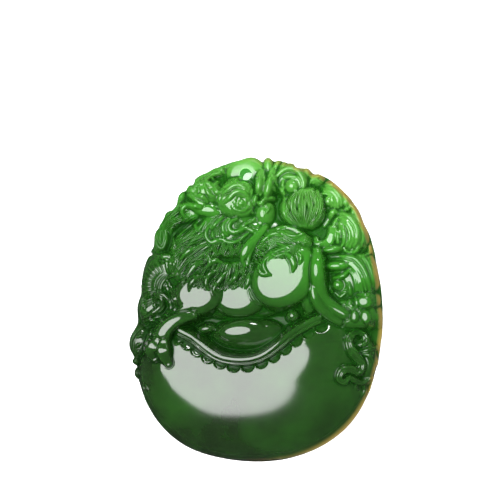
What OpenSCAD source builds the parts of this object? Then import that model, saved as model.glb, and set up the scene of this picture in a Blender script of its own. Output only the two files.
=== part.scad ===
// Carved jade pendant: a crouching guardian beast over a full money bag, with clouds and scrolls.
// Millimetres. The flat back lies on z = 0 and the carved face looks up the Z axis.
// The cord hole is at the top, towards +Y, and +X is on the right of the carved face.

/* [Stone] */
// Width of the stone over its left and right edges
pendant_w = 51; // [46:0.2:56]
// Height of the stone over its top and bottom edges
pendant_h = 61.2; // [56:0.2:66]
// Thickness from the flat back to the highest carving
pendant_t = 13.2; // [11:0.2:16]
// Lean of the oval to the right, in degrees
lean = 5.6; // [0:0.2:8]
// Height at which the carved face meets the outer wall
edge_t = 4.2; // [4:0.1:5]
// Height of the carved ground in the middle of the face
ground_t = 7.4; // [7.2:0.1:9]

/* [Cord hole] */
// Diameter of the hole that the cord passes through
hole_d = 2.4; // [1.6:0.1:3]
// Diameter of the smooth disc round the hole
disc_d = 7.6; // [6:0.1:9]

/* [Money bag] */
// Height of the smooth swelling of the bag
bag_t = 12; // [10:0.1:13]
// Width of each scallop of the trim
scallop_w = 2.4; // [1.8:0.1:2.8]
// Distance from the line of scallops up to the rim of the mouth
rim_rise = 1.9; // [1.4:0.1:2.4]

/* [Relief] */
// Scale of the height of cords, locks and scrolls over the form below
relief = 1; // [0.9:0.05:1.3]

/* [Hidden] */
jade_green = [0.16, 0.42, 0.14];

half_w = 24.8;
half_h = 30.4;
egg = 0.10;
wall_foot = 2;
wall_draft = 1.15;
arch_sides = 2;
squareness = 2.3;
disc_at = [-2.4, 26.8];
disc_t = 8.6;
carved_w = 50.86;
carved_h = 61.19;

// Swellings of the stone, largest first.
// Columns: x, y, top, half length, half width, drop to the shoulder, turn in degrees, flatness
masses = [
    // low swellings under the clouds, the fin, the leaves and the shell
    [17.2, 14.8, 7.2, 3.2, 4.3, 1.6, 0, 3],
    [18.7, 6.4, 7.8, 4.4, 4.6, 1.8, 0, 3],
    [14.4, 22.3, 7.0, 3.1, 2.6, 1.4, -42, 3],
    [13.0, 14.9, 8.4, 2.5, 2.9, 1.6, 0, 3],
    [-18.5, 4.6, 7.2, 4.7, 4.8, 1.8, 0, 3],
    [-20.0, 0.6, 6.8, 3.4, 2.8, 1.6, 20, 3],
    [6.4, 25.2, 8.0, 3.6, 3.3, 1.6, 0, 3],
    [-9.4, 26.4, 6.6, 4.4, 1.9, 1.4, 27, 3],
    // body of the beast
    [-6.6, 13.0, 9.8, 8.8, 6.4, 3.2, 0, 3],
    [4.6, 12.0, 10.4, 6.4, 4.4, 3, 8, 3],
    [-5.4, 21.8, 10.8, 6.4, 4.4, 4, 0, 3],
    [-9.6, 0.6, 10.0, 5.0, 2.8, 3, -18, 2.6],
    [-16.2, 18.8, 7.4, 4.8, 1.9, 2, 50, 2.6],
    [18.4, -0.8, 9.2, 5.0, 3.1, 3, -8, 2.8],
    [1.0, 18.6, 10.6, 2.3, 3.2, 3, 0, 2.6],
    [5.1, 5.9, 12.8, 6.1, 5.3, 3.2, 0, 3],
    [-3.9, 1.5, 10.8, 4.5, 3.9, 3, 0, 2.6],
    [-11.5, 2.8, 12.4, 3.6, 2.7, 2.6, 8, 3],
    [-0.9, -4.7, 11.2, 7.2, 3.8, 3.6, 2, 2.3],
    [9.3, 19.8, 11.8, 3.8, 3.6, 3.6, 0, 2.4]
];

// Small rounded forms. Columns as in the table of masses
knobs = [
    // crown, snout, nostril, chin, jaw and eye of the beast
    [-3.3, 22.6, 12.8, 3.1, 3.3, 2.6, 0, 2.6],
    [-10.6, 23.4, 11.6, 3.2, 2.1, 2.6, -12, 2.4],
    [-13.5, 23.9, 11.2, 0.8, 0.8, 1, 0, 2],
    [-13.2, 19.4, 9.6, 1.8, 1.2, 1.6, 0, 2.2],
    [-9.6, 20.1, 11.4, 2.1, 0.9, 1.2, -14, 2.4],
    [-3.1, 20.9, 13.4, 0.95, 0.9, 0.9, 0, 2],
    // beads of the bag's treasure
    [-10.3, -3.9, 10.2, 1.1, 1.1, 1.4, 0, 2],
    [7.0, -1.3, 10.8, 1.35, 1.3, 1.4, 0, 2],
    [3.1, 0.2, 9.6, 0.55, 0.5, 0.5, 0, 2],
    [9.9, -0.7, 10.0, 0.8, 0.6, 0.8, 0, 2],
    // elbow and toes
    [-14.2, -0.3, 11.8, 1.3, 1.2, 1.2, 0, 2.6],
    [21.0, 1.7, 10.2, 1.3, 1.2, 1.2, 0, 3],
    [21.2, -1.3, 9.8, 1.1, 1.6, 1.3, -12, 2.4],
    [19.2, -1.6, 10.6, 0.9, 1.7, 1.3, -8, 2.4],
    [17.7, 1.2, 9.8, 0.9, 1.1, 1, 20, 2],
    // discs, balls and pills among the clouds
    [6.7, 24.3, 10.6, 1.9, 1.9, 1.9, 0, 2.2],
    [14.0, 21.4, 9.4, 1.0, 1.0, 1, 0, 2],
    [14.0, 11.9, 10.0, 2.1, 0.7, 0.9, 8, 2.6],
    [15.9, 7.9, 10.2, 2.2, 1.4, 1.6, 0, 2.6],
    [15.9, 4.6, 9.4, 1.1, 1.2, 1.2, 0, 2],
    [9.7, 26.3, 7.6, 1.7, 1.8, 1.4, 0, 2.4],
    [-10.2, 26.2, 7.8, 2.4, 1.3, 1.6, 28, 2.4],
    [-7.6, 27.7, 7.2, 1.9, 1.2, 1.2, 25, 2.4],
    // petals beside the disc
    [2.0, 28.4, 7.6, 1.2, 1.9, 1.2, 0, 2.4],
    [3.8, 28.3, 7.4, 0.8, 1.8, 1.1, -22, 2.2],
    [5.3, 27.9, 7.2, 0.8, 2.0, 1.1, -45, 2.2],
    // leaf, fin eye, fin head and lobes of the left edge
    [-19.4, 13.9, 7.8, 0.9, 1.7, 1.2, -4, 2.2],
    [-17.6, 4.4, 8.4, 1.6, 2.2, 1.6, 0, 2.4],
    [-18.0, 10.2, 8.4, 2.0, 1.1, 1.2, 0, 3],
    [-24.2, -6.6, 6.8, 1.9, 3.2, 2.2, 0, 2.4],
    [-24.9, -10.4, 5.6, 0.9, 0.8, 1, 0, 2],
    [-24.6, -12.9, 5.4, 0.8, 1.0, 1, 0, 2],
    [21.5, -10.2, 6.6, 1.5, 3.4, 2, 0, 2.4]
];

// Row of scallops along the bag's trim, every second one. Columns: x, y
hem = [
    [-15.35, -5.7], [-11.8, -8.1], [-7.2, -10.6], [-1.8, -11.3],
    [3.45, -9.25], [7.8, -5.9], [12.6, -3.5]
];

// Carved cords. Each is a row of points. Columns: x, y, height over the form below, half width
limbs = [
    // hind leg, front and rear
    [[12.1, 10.8, 2.2, 0.9], [12.1, 8.0, 2.6, 1.2], [12.4, 5.6, 2.6, 1.3],
     [13.1, 3.2, 2.6, 1.3], [14.6, 0.8, 1.8, 1.4], [17.0, -1.2, 0.8, 1.3]],
    [[10.5, 4.9, 0.4, 0.7], [11.1, 2.7, 1.5, 0.8], [12.0, 0.8, 1.8, 1.0],
     [13.8, -1.0, 1.2, 1.0], [16.0, -2.4, 0.4, 0.9]],
    // foreleg and its two claws
    [[-12.6, -1.0, 0.6, 0.9], [-14.8, -1.6, 1.8, 1.1], [-17.0, -2.8, 2.6, 1.2],
     [-18.4, -4.5, 2.6, 1.3], [-18.8, -6.5, 2.4, 1.3]],
    [[-19.4, -6.2, 1.8, 0.8], [-20.5, -7.6, 1.8, 1.0], [-20.9, -8.9, 0.9, 0.9], [-20.1, -9.7, 0.1, 0.6]],
    [[-18.4, -6.2, 2.0, 1.1], [-17.9, -8.0, 1.6, 1.3], [-17.6, -9.6, 0.7, 1.2], [-17.5, -10.5, -0.2, 0.8]],
    [[-19.3, -6.9, 1.6, 0.6], [-19.3, -8.3, 1.0, 0.7], [-19.3, -9.8, 0.1, 0.5]],
    // beard that hangs from the cheek
    [[1.6, 16.2, 0.2, 0.6], [-0.2, 14.0, 0.7, 0.9], [-1.6, 11.9, 0.9, 1.1],
     [-2.3, 9.8, 1.0, 0.9], [-2.2, 7.8, 0.8, 0.5]]
];

head_cords = [
    // brow and the ridges that run from it along the snout
    [[-1.2, 20.4, 0.1, 0.25], [-1.3, 22.0, 0.3, 0.35], [-2.6, 23.1, 0.3, 0.4], [-4.4, 22.8, 0.3, 0.4],
     [-5.2, 21.4, 0.3, 0.35], [-4.8, 20.0, 0.1, 0.25]],
    [[-2.2, 24.0, 0.2, 0.3], [-4.4, 24.3, 0.3, 0.4], [-6.2, 23.4, 0.6, 0.45], [-8.2, 22.5, 0.4, 0.35]],
    [[-5.2, 24.8, 0.0, 0.3], [-6.6, 24.6, 0.9, 0.5], [-8.3, 24.2, 0.6, 0.5], [-9.6, 24.6, 0.2, 0.35]],
    [[-4.6, 19.4, 0.1, 0.3], [-3.0, 18.9, 0.3, 0.35], [-1.6, 19.5, 0.3, 0.3], [-0.9, 20.6, 0.1, 0.2]],
    // lips, tooth and the whisker that curls under the jaw
    [[-13.4, 22.8, 0.6, 0.3], [-12.5, 21.8, 1.0, 0.35], [-11.2, 20.9, 1.0, 0.35], [-9.6, 20.9, 0.6, 0.3]],
    [[-12.2, 22.3, 0.5, 0.2], [-11.1, 22.0, 0.7, 0.4], [-10.0, 21.3, 0.6, 0.25]],
    [[-14.7, 18.6, 1.6, 0.3], [-15.0, 19.6, 2.0, 0.35], [-14.1, 20.5, 2.2, 0.4], [-12.4, 20.5, 2.6, 0.45],
     [-10.6, 20.1, 1.0, 0.5], [-8.8, 19.3, 0.8, 0.5], [-7.4, 19.4, 0.2, 0.3]],
    // ear: two lobes and the rib between them
    [[-0.2, 20.6, 0.4, 0.4], [-0.3, 22.0, 0.9, 0.7], [0.3, 24.2, 2.2, 0.8], [0.9, 26.2, 2.6, 0.5]],
    [[2.6, 20.9, 0.4, 0.5], [2.4, 22.6, 1.2, 0.8], [2.2, 24.4, 2.2, 0.8], [2.2, 26.2, 2.2, 0.5]],
    [[0.4, 22.4, 1.4, 0.3], [1.2, 23.4, 2.4, 0.4], [1.35, 25.6, 3.2, 0.35]],
    [[0.2, 19.8, 0.4, 0.5], [1.4, 20.3, 0.6, 0.6], [2.6, 19.6, 0.3, 0.4]]
];

curls = [
    // cheek curls, one inside the other
    [[-3.5, 17.9, 0.9, 0.3], [-4.9, 17.5, 1.2, 0.5], [-5.5, 16.4, 1.3, 0.5], [-4.6, 15.4, 1.2, 0.5],
     [-3.0, 15.7, 1.0, 0.5], [-1.8, 16.0, 0.8, 0.45], [-0.6, 15.4, 0.6, 0.35]],
    [[-4.6, 18.3, 0.6, 0.3], [-6.3, 17.3, 1.0, 0.45], [-6.8, 16.0, 1.1, 0.5], [-6.0, 14.8, 1.0, 0.45],
     [-4.6, 14.4, 0.8, 0.4], [-2.6, 14.9, 0.5, 0.3]],
    [[-6.4, 18.4, 0.4, 0.3], [-7.8, 17.3, 0.7, 0.4], [-9.4, 16.0, 0.8, 0.45], [-9.8, 14.5, 0.9, 0.5],
     [-8.6, 13.4, 0.9, 0.5], [-6.6, 13.6, 0.8, 0.45], [-4.6, 13.3, 0.7, 0.4], [-2.4, 14.6, 0.3, 0.3]],
    [[-10.4, 18.2, 0.4, 0.3], [-10.9, 17.0, 0.8, 0.4], [-11.7, 15.8, 0.5, 0.3], [-12.3, 16.7, 0.8, 0.4],
     [-11.8, 17.9, 0.4, 0.3]],
    // comma on the rump's edge
    [[2.0, 10.0, 0.2, 0.2], [1.3, 8.9, 0.7, 0.4], [1.8, 7.6, 0.5, 0.35], [2.6, 6.8, 0.2, 0.2]],
    [[0.4, 8.6, 0.6, 0.2], [0.6, 7.5, 0.9, 0.35], [1.5, 6.8, 0.7, 0.35], [2.6, 6.7, 0.1, 0.2]]
];

cloud_cords = [
    // snail shell above the tail
    [[3.6, 26.0, 0.5, 0.3], [4.6, 27.3, 0.9, 0.45], [6.3, 27.9, 1.1, 0.5], [8.0, 27.2, 1.2, 0.5],
     [9.0, 25.8, 1.2, 0.5], [9.1, 24.3, 1.0, 0.4], [8.4, 23.0, 0.6, 0.3]],
    [[5.6, 26.5, 0.9, 0.3], [7.2, 26.5, 1.2, 0.4], [8.3, 25.4, 1.2, 0.4], [8.4, 24.0, 1.0, 0.3]],
    // small curl and nested arcs at the upper right edge
    [[10.3, 24.3, 0.8, 0.3], [10.5, 25.4, 1.0, 0.4], [11.4, 25.9, 1.0, 0.4], [12.2, 25.2, 0.9, 0.4],
     [11.7, 24.5, 0.6, 0.3]],
    [[13.4, 24.4, 0.7, 0.3], [14.6, 24.2, 1.0, 0.45], [15.9, 23.1, 1.1, 0.5], [16.6, 21.6, 1.1, 0.5],
     [16.4, 20.2, 0.7, 0.35]],
    [[13.6, 23.3, 0.6, 0.3], [14.9, 23.0, 0.9, 0.4], [15.6, 21.8, 1.0, 0.4], [15.4, 20.3, 0.7, 0.3]],
    [[17.1, 22.4, 0.4, 0.25], [17.6, 21.2, 0.8, 0.4], [18.6, 20.0, 0.8, 0.4], [19.4, 18.4, 0.5, 0.3]],
    [[16.4, 19.8, 0.6, 0.35], [17.5, 19.6, 0.7, 0.35], [18.2, 18.9, 0.4, 0.25]],
    // stem below the tail and the ring that it ends in
    [[15.9, 19.1, 0.9, 0.4], [14.9, 19.3, 1.4, 0.7], [14.1, 18.2, 1.5, 0.7], [13.4, 16.6, 1.2, 0.6],
     [12.0, 15.6, 1.2, 0.6], [11.4, 14.2, 1.2, 0.7], [12.4, 13.0, 1.3, 0.8], [14.0, 13.2, 1.3, 0.8],
     [14.6, 14.8, 1.1, 0.7], [14.0, 16.2, 0.9, 0.5]],
    // upper cloud: nested loops that meet at the top and the foot
    [[15.9, 18.9, 0.8, 0.35], [17.4, 18.6, 1.2, 0.5], [18.9, 17.3, 1.4, 0.55], [19.6, 15.4, 1.5, 0.55],
     [19.5, 13.2, 1.3, 0.5], [18.3, 11.2, 0.8, 0.35]],
    [[16.3, 17.9, 0.9, 0.35], [17.5, 16.6, 1.2, 0.45], [18.1, 15.0, 1.3, 0.45], [18.0, 13.2, 1.2, 0.45],
     [17.3, 11.9, 0.7, 0.3]],
    [[15.5, 18.0, 0.8, 0.3], [16.5, 16.6, 1.2, 0.4], [17.0, 14.8, 1.3, 0.4], [16.7, 13.4, 1.1, 0.4],
     [15.8, 13.1, 0.8, 0.35]],
    [[15.4, 17.6, 0.6, 0.3], [15.0, 16.4, 0.9, 0.35], [15.4, 15.0, 1.0, 0.35], [15.8, 13.6, 0.8, 0.3]],
    [[20.7, 15.8, 0.5, 0.25], [20.9, 14.0, 0.9, 0.4], [20.8, 12.4, 0.9, 0.4], [20.2, 11.1, 0.5, 0.3]],
    [[21.7, 12.4, 0.4, 0.25], [21.5, 11.2, 0.7, 0.35], [20.4, 10.5, 0.5, 0.3]],
    // lower cloud: nested loops round the pill and the ball
    [[14.0, 10.5, 1.0, 0.35], [16.2, 10.4, 1.3, 0.45], [18.4, 10.0, 1.4, 0.5], [20.3, 8.7, 1.5, 0.5],
     [21.5, 6.6, 1.5, 0.5], [21.9, 4.6, 1.3, 0.45], [21.8, 3.4, 0.8, 0.3]],
    [[17.9, 9.0, 0.9, 0.35], [19.3, 7.8, 1.3, 0.45], [20.1, 6.2, 1.4, 0.45], [20.4, 4.8, 1.2, 0.4],
     [20.5, 3.4, 0.7, 0.3]],
    [[21.0, 10.2, 0.5, 0.3], [22.0, 8.6, 0.8, 0.4], [22.7, 6.6, 0.9, 0.4], [23.0, 4.8, 0.8, 0.4],
     [22.6, 3.4, 0.4, 0.3]],
    [[18.0, 8.4, 0.9, 0.35], [18.4, 6.6, 1.3, 0.45], [18.1, 4.8, 1.2, 0.4], [18.3, 3.3, 0.8, 0.35]],
    [[14.2, 5.2, 0.8, 0.3], [14.6, 3.6, 1.0, 0.4], [15.8, 2.9, 1.0, 0.4], [17.2, 3.6, 0.9, 0.35]],
    // edge of the collar that holds the tail
    [[4.2, 22.4, 0.6, 0.3], [5.2, 22.1, 1.2, 0.4], [5.4, 20.4, 1.6, 0.45], [5.5, 18.6, 1.6, 0.45],
     [6.6, 17.0, 1.4, 0.4], [8.2, 15.6, 0.8, 0.4]]
];

fin_cords = [
    // rings round the fin's eye and the line that runs down from it
    [[-16.3, 6.9, 0.7, 0.3], [-17.6, 6.7, 0.9, 0.4], [-18.8, 5.6, 1.0, 0.4], [-19.3, 3.9, 0.9, 0.35]],
    [[-18.0, 7.4, 0.6, 0.25], [-19.4, 6.5, 0.8, 0.35], [-20.2, 5.2, 0.8, 0.35], [-20.3, 3.8, 0.6, 0.25]],
    [[-17.8, 4.0, 0.2, 0.25], [-16.9, 2.8, 0.9, 0.4], [-16.6, 1.4, 1.2, 0.4], [-17.0, 0.1, 1.0, 0.4],
     [-17.9, -1.0, 0.6, 0.3]],
    // scroll below the fin
    [[-20.2, 1.3, 1.0, 0.3], [-20.0, 2.1, 1.2, 0.4], [-19.2, 2.2, 1.3, 0.4], [-18.7, 1.3, 1.3, 0.4],
     [-19.3, 0.2, 1.2, 0.45], [-20.8, -0.7, 1.0, 0.4], [-22.6, -1.5, 0.6, 0.3]],
    [[-20.8, 2.0, 0.7, 0.3], [-19.9, 2.9, 0.9, 0.35], [-18.5, 2.9, 1.1, 0.4], [-17.6, 1.8, 1.1, 0.4],
     [-17.6, 0.2, 1.0, 0.4], [-18.7, -1.2, 0.8, 0.35], [-20.2, -2.0, 0.5, 0.3]],
    [[-20.6, 3.1, 0.5, 0.25], [-22.1, 2.8, 0.7, 0.35], [-23.3, 2.0, 0.6, 0.3], [-23.0, 0.4, 0.4, 0.25]],
    // line beside the foreleg, and the curled lobe of the left edge
    [[-20.2, -3.0, 0.6, 0.25], [-21.5, -4.6, 0.9, 0.4], [-22.1, -6.6, 0.9, 0.4], [-21.8, -9.8, 0.4, 0.3]],
    [[-25.5, -8.8, 0.0, 0.25], [-25.6, -6.8, 0.2, 0.35], [-24.9, -5.0, 0.3, 0.35], [-23.2, -3.7, 0.6, 0.3]],
    [[-23.4, -2.9, 0.5, 0.25], [-22.0, -2.1, 0.6, 0.35], [-20.6, -2.3, 0.5, 0.3]],
    // leaf of the left edge
    [[-20.4, 15.8, 0.6, 0.25], [-20.5, 13.8, 0.8, 0.35], [-19.4, 12.2, 0.9, 0.35], [-18.3, 13.4, 1.0, 0.35],
     [-18.3, 15.6, 0.7, 0.25]],
    [[-17.6, 15.2, 0.4, 0.25], [-17.6, 13.4, 0.7, 0.35], [-18.4, 11.9, 0.6, 0.3]],
    // curls behind the snout and left of the disc
    [[-8.9, 24.9, 0.6, 0.3], [-9.8, 25.0, 0.9, 0.4], [-9.9, 25.9, 0.9, 0.4], [-9.0, 26.4, 0.8, 0.4],
     [-7.6, 26.2, 0.8, 0.4]],
    [[-9.2, 26.9, 0.6, 0.35], [-8.1, 27.4, 0.8, 0.45], [-6.9, 27.3, 0.6, 0.35]]
];

// Ribbon with two raised edges that winds down the right side of the bag. Columns as for the cords
ribbon = [
    [20.6, -5.8, 0.9, 0.35], [19.8, -6.5, 1.0, 0.4], [20.7, -7.1, 1.2, 0.45], [21.5, -6.1, 1.3, 0.5],
    [20.8, -4.7, 1.3, 0.6], [19.1, -4.5, 1.2, 0.7], [18.0, -5.8, 1.1, 0.8], [18.3, -7.6, 1.0, 0.85],
    [19.4, -9.3, 1.1, 0.85], [20.5, -10.9, 1.3, 0.8], [19.8, -12.1, 1.2, 0.8], [18.1, -11.5, 1.0, 0.8],
    [16.7, -11.9, 0.9, 0.8], [16.1, -13.4, 0.8, 0.75], [17.0, -14.1, 0.9, 0.6], [18.0, -13.3, 1.0, 0.5],
    [19.0, -13.9, 1.2, 0.6], [20.6, -14.4, 1.2, 0.6], [22.0, -13.6, 0.8, 0.4]
];
ribbon_leaves = [
    [[20.4, -8.2, 0.6, 0.25], [21.8, -7.9, 0.9, 0.4], [23.1, -7.7, 0.5, 0.25]],
    [[20.8, -8.7, 0.6, 0.25], [22.0, -9.1, 0.9, 0.4], [23.0, -10.6, 0.4, 0.25]],
    [[20.9, -14.9, 0.4, 0.2], [21.0, -16.2, 0.5, 0.3], [20.3, -17.4, 0.2, 0.2]]
];

// Fields of locks, combed from a root line to a tip line.
// Columns: root x, y, root x, y, tip x, y, tip x, y, bow, number of locks, height, half width
lock_fields = [
    // mane, from the jaw to the belly
    [-12.8, 17.2, -12.0, 15.4, -17.4, 15.4, -16.2, 12.6, 0.5, 3, 0.6, 0.6],
    [-11.2, 15.0, -10.6, 13.6, -15.1, 13.1, -14.1, 11.5, 0.4, 2, 0.6, 0.6],
    [-10.4, 12.6, -9.8, 11.2, -14.6, 10.2, -13.4, 8.8, 0.4, 2, 0.6, 0.6],
    [-9.4, 10.6, -8.6, 10.0, -13.4, 7.4, -12.2, 6.2, 0.3, 2, 0.6, 0.55],
    [-8.2, 9.8, -6.4, 9.6, -11.6, 6.0, -8.8, 5.2, 0.3, 2, 0.7, 0.6],
    [-5.6, 9.4, -4.2, 9.2, -7.6, 5.0, -5.4, 4.6, 0.2, 2, 0.7, 0.6],
    [-3.6, 9.0, -1.6, 8.4, -4.2, 4.8, -1.8, 4.4, 0.2, 2, 0.7, 0.6],
    [-8.6, 12.8, -4.2, 12.4, -9.4, 10.2, -4.6, 9.9, 0.3, 3, 0.4, 0.5],
    // band of long hair along the upper left edge
    [-15.4, 23.0, -14.0, 21.4, -20.2, 16.4, -17.2, 16.6, 0.6, 3, 0.5, 0.6],
    // dorsal comb behind the beard
    [2.2, 14.0, -0.2, 9.8, 1.0, 14.4, -1.2, 10.4, 0.1, 3, 0.6, 0.4],
    // hair on the back above the rump
    [2.8, 14.0, 3.0, 11.4, 7.6, 13.6, 6.4, 11.2, -0.4, 2, 0.4, 0.5],
    // hair of the tail
    [7.0, 21.8, 12.0, 22.0, 8.0, 17.8, 11.8, 17.9, -0.7, 3, 0.3, 0.5]
];

// Teeth of the fin: centre x, y, inner and outer reach, first and last angle, number
fin_comb = [-17.8, 4.3, 3.1, 5.3, 76, 190, 6];

function at_least(a, b) = a > b ? a : b;
function turned(x, y, a) = [x * cos(a) + y * sin(a), -x * sin(a) + y * cos(a)];

// Point of the egg-shaped outline in direction a, at share s of the way from the middle
function outline_point(a, s) =
    let(y = half_h * sign(sin(a)) * pow(abs(sin(a)), 2 / squareness),
        w = half_w * (1 - egg * y / half_h),
        x = w * sign(cos(a)) * pow(abs(cos(a)), 2 / squareness))
    s * turned(x, y, lean);

// Share of the way from the middle to the outline at a point of the face
function outline_share(x, y) =
    let(p = turned(x, y, -lean), w = half_w * (1 - egg * p.y / half_h))
    min(1, pow(pow(abs(p.x / w), squareness) + pow(abs(p.y / half_h), squareness), 1 / squareness));

function ground_z(x, y) = edge_t + (ground_t - edge_t) * (1 - pow(outline_share(x, y), 2.4));

// Rise of a rounded form at share u of its reach, from 1 at its top to 0 at its shoulder
function swell(u, flatness) = u >= 1 ? 0 : sqrt(1 - pow(u, flatness));

function mass_z(m, x, y) =
    let(p = turned(x - m[0], y - m[1], -m[6]), u = norm([p.x / m[3], p.y / m[4]]))
    u < 1 ? m[2] - m[5] * (1 - swell(u, m[7])) : 0;

bag_at = [-1.3, -14];
bag_reach = [23.2, 16.4];
bag_edge_t = 3.4;
function bag_rise(u) = bag_edge_t + (bag_t - bag_edge_t) * pow(at_least(1 - pow(u, 3.6), 0), 0.66);
function bag_share(x, y) =
    pow(pow(abs(x - bag_at.x) / bag_reach.x, squareness)
        + pow(abs(y - bag_at.y) / bag_reach.y, squareness), 1 / squareness);
function rim_y(x) = let(p = rim_line, i = [for (k = [0:len(p) - 2]) if (x >= p[k].x && x < p[k + 1].x) k])
    len(i) == 0 ? -2.2 : p[i[0]].y + (p[i[0] + 1].y - p[i[0]].y) * (x - p[i[0]].x)
        / (p[i[0] + 1].x - p[i[0]].x);
function bag_z(x, y) = y > rim_y(x) + 0.3 ? 0 : bag_rise(min(1, bag_share(x, y)));

// Height of the stone below the fine carving
function form_z(x, y) = max(concat(
    [ground_z(x, y), bag_z(x, y)],
    [for (m = masses) mass_z(m, x, y)]));
function knob_z(x, y) = max(concat([form_z(x, y)], [for (m = knobs) mass_z(m, x, y)]));

// Smooth curve through a row of points, with n steps between two points
function blend4(a, b, c, d, t) =
    0.5 * (2 * b + (c - a) * t + (2 * a - 5 * b + 4 * c - d) * t * t + (3 * b - a - 3 * c + d) * t * t * t);
function smooth_line(p, n) = concat(
    [for (i = [0:len(p) - 2], k = [0:n - 1])
        blend4(p[at_least(i - 1, 0)], p[i], p[i + 1], p[min(i + 2, len(p) - 1)], k / n)],
    [p[len(p) - 1]]);

// Direction of a line in the plane at its point i
function heading(p, i) =
    let(a = p[at_least(i - 1, 0)], b = p[min(i + 1, len(p) - 1)], d = [b.x - a.x, b.y - a.y])
    d / norm(d);

// Line beside another, at a distance to its left
function beside(p, d) =
    [for (i = [0:len(p) - 1]) let(t = heading(p, i)) [p[i].x - t.y * d, p[i].y + t.x * d]];

hem_line = smooth_line(hem, 2);
rim_line = beside(smooth_line(concat([[-18.2, -3.6]], hem, [[15.6, -3.2]]), 2), rim_rise);

// Closed skin over rings of points, which are joined in order and capped at both ends
module skin(rings) {
    n = len(rings[0]);
    m = len(rings);
    polyhedron(
        points = [for (r = rings, p = r) p],
        faces = concat(
            [for (i = [0:m - 2], k = [0:n - 1])
                let(a = i * n + k, b = i * n + (k + 1) % n) each [[a, a + n, b + n], [a, b + n, b]]],
            [[for (k = [0:n - 1]) k], [for (k = [n - 1:-1:0]) (m - 1) * n + k]]),
        convexity = 10);
}

// Cord with a round back and straight walls that reach down into the stone. Rows: x, y, z, half width
module cord(line) {
    skin([for (i = [0:len(line) - 1])
        let(c = line[i], t = heading(line, i), side = [-t.y, t.x] * c[3])
        concat(
            [for (q = [0:180 / arch_sides:180])
                [c.x + side.x * cos(q), c.y + side.y * cos(q), c.z + c[3] * sin(q)]],
            [for (s = [-1, 1]) [c.x + s * side.x * wall_draft, c.y + s * side.y * wall_draft, wall_foot]])]);
}

// Cord whose points are given by their height over the stone below it
function on_stone(points) = [for (p = points)
    [p[0], p[1], knob_z(p[0], p[1]) + relief * p[2] - p[3] * 0.6, p[3]]];

module limb(points) {
    cord(smooth_line(on_stone(points), points[1][3] > 1 ? 2 : 1));
}

module carved_cords(rows) {
    for (p = rows) cord(on_stone(p));
}

// Rounded form with straight walls below its shoulder
module swelling(m, sides, shares) {
    rise = [for (u = shares) [u, m[2] - m[5] * (1 - swell(u, m[7]))]];
    translate([m[0], m[1], 0]) rotate(m[6]) scale([m[3], m[4], 1]) rotate_extrude($fn = sides)
        polygon(concat([[0, wall_foot], [1.04, wall_foot]], rise, [[0, rise[len(rise) - 1].y]]));
}

module stone_blank() {
    sides = 34;
    wall = [[0.965, 0], [1, 1.2], [1, edge_t - 0.7], [0.985, edge_t]];
    skin(concat(
        [for (w = wall) [for (k = [0:sides - 1])
            let(p = outline_point(360 * k / sides, w[0])) [p.x, p.y, w[1]]]],
        [for (s = [0.86, 0.46]) [for (k = [0:sides - 1])
            let(p = outline_point(360 * k / sides, s)) [p.x, p.y, ground_z(p.x, p.y)]]]));
}

module money_bag() {
    sides = 34;
    intersection() {
        skin([for (u = [1, 0.98, 0.92, 0.82, 0.66, 0.42]) [for (k = [0:sides - 1])
            let(q = 360 * k / sides, c = cos(q), s = sin(q), f = 2 / squareness)
            [bag_at.x + bag_reach.x * u * sign(c) * pow(abs(c), f),
             bag_at.y + bag_reach.y * u * sign(s) * pow(abs(s), f),
             u == 1 ? 1.5 : bag_rise(u)]]]);
        linear_extrude(height = 20)
            polygon(concat(rim_line, [[26, -1.6], [26, -32], [-26, -32], [-26, -3.2]]));
    }
}

// Rim and scallops round the mouth of the bag
module bag_trim() {
    rim = beside(concat([[-17.2, -4.6]], hem_line, [[14.6, -3.1]]), rim_rise - 0.2);
    cord([for (p = rim) [p.x, p.y, bag_rise(bag_share(p.x, p.y)) + 0.1, 0.5]]);
    for (p = hem_line)
        swelling([p.x, p.y, bag_rise(bag_share(p.x, p.y)) + 0.7, scallop_w / 2, scallop_w / 2, 0.6, 0, 2.2],
            7, [0.95, 0.5]);
}

module locks(f) {
    for (i = [0:f[9] - 1]) {
        t = f[9] > 1 ? i / (f[9] - 1) : 0.5;
        root = [f[0] + (f[2] - f[0]) * t, f[1] + (f[3] - f[1]) * t];
        tip = [f[4] + (f[6] - f[4]) * t, f[5] + (f[7] - f[5]) * t];
        along = (tip - root) / norm(tip - root);
        mid = (root + tip) / 2 + [-along.y, along.x] * f[8];
        cord(on_stone([[root.x, root.y, f[10] * 0.5, f[11] * 0.7], [mid.x, mid.y, f[10], f[11]],
            [tip.x, tip.y, f[10] * 0.3, f[11] * 0.5]]));
    }
}

module fin() {
    for (i = [0:fin_comb[6] - 1]) {
        a = fin_comb[4] + (fin_comb[5] - fin_comb[4]) * i / (fin_comb[6] - 1);
        cord(on_stone([for (q = [[fin_comb[2], 0.6, 0.3], [fin_comb[3], 0.6, 0.4]])
            [fin_comb[0] + q[0] * cos(a), fin_comb[1] + q[0] * sin(a), q[1], q[2]]]));
    }
    carved_cords(fin_cords);
}

module winding_ribbon() {
    cord(on_stone(ribbon));
    carved_cords(ribbon_leaves);
}

module hole_disc() {
    swelling([disc_at.x, disc_at.y, disc_t, disc_d / 2, disc_d / 2, 0.5, 0, 5], 24, [1, 0.93]);
}

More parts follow.
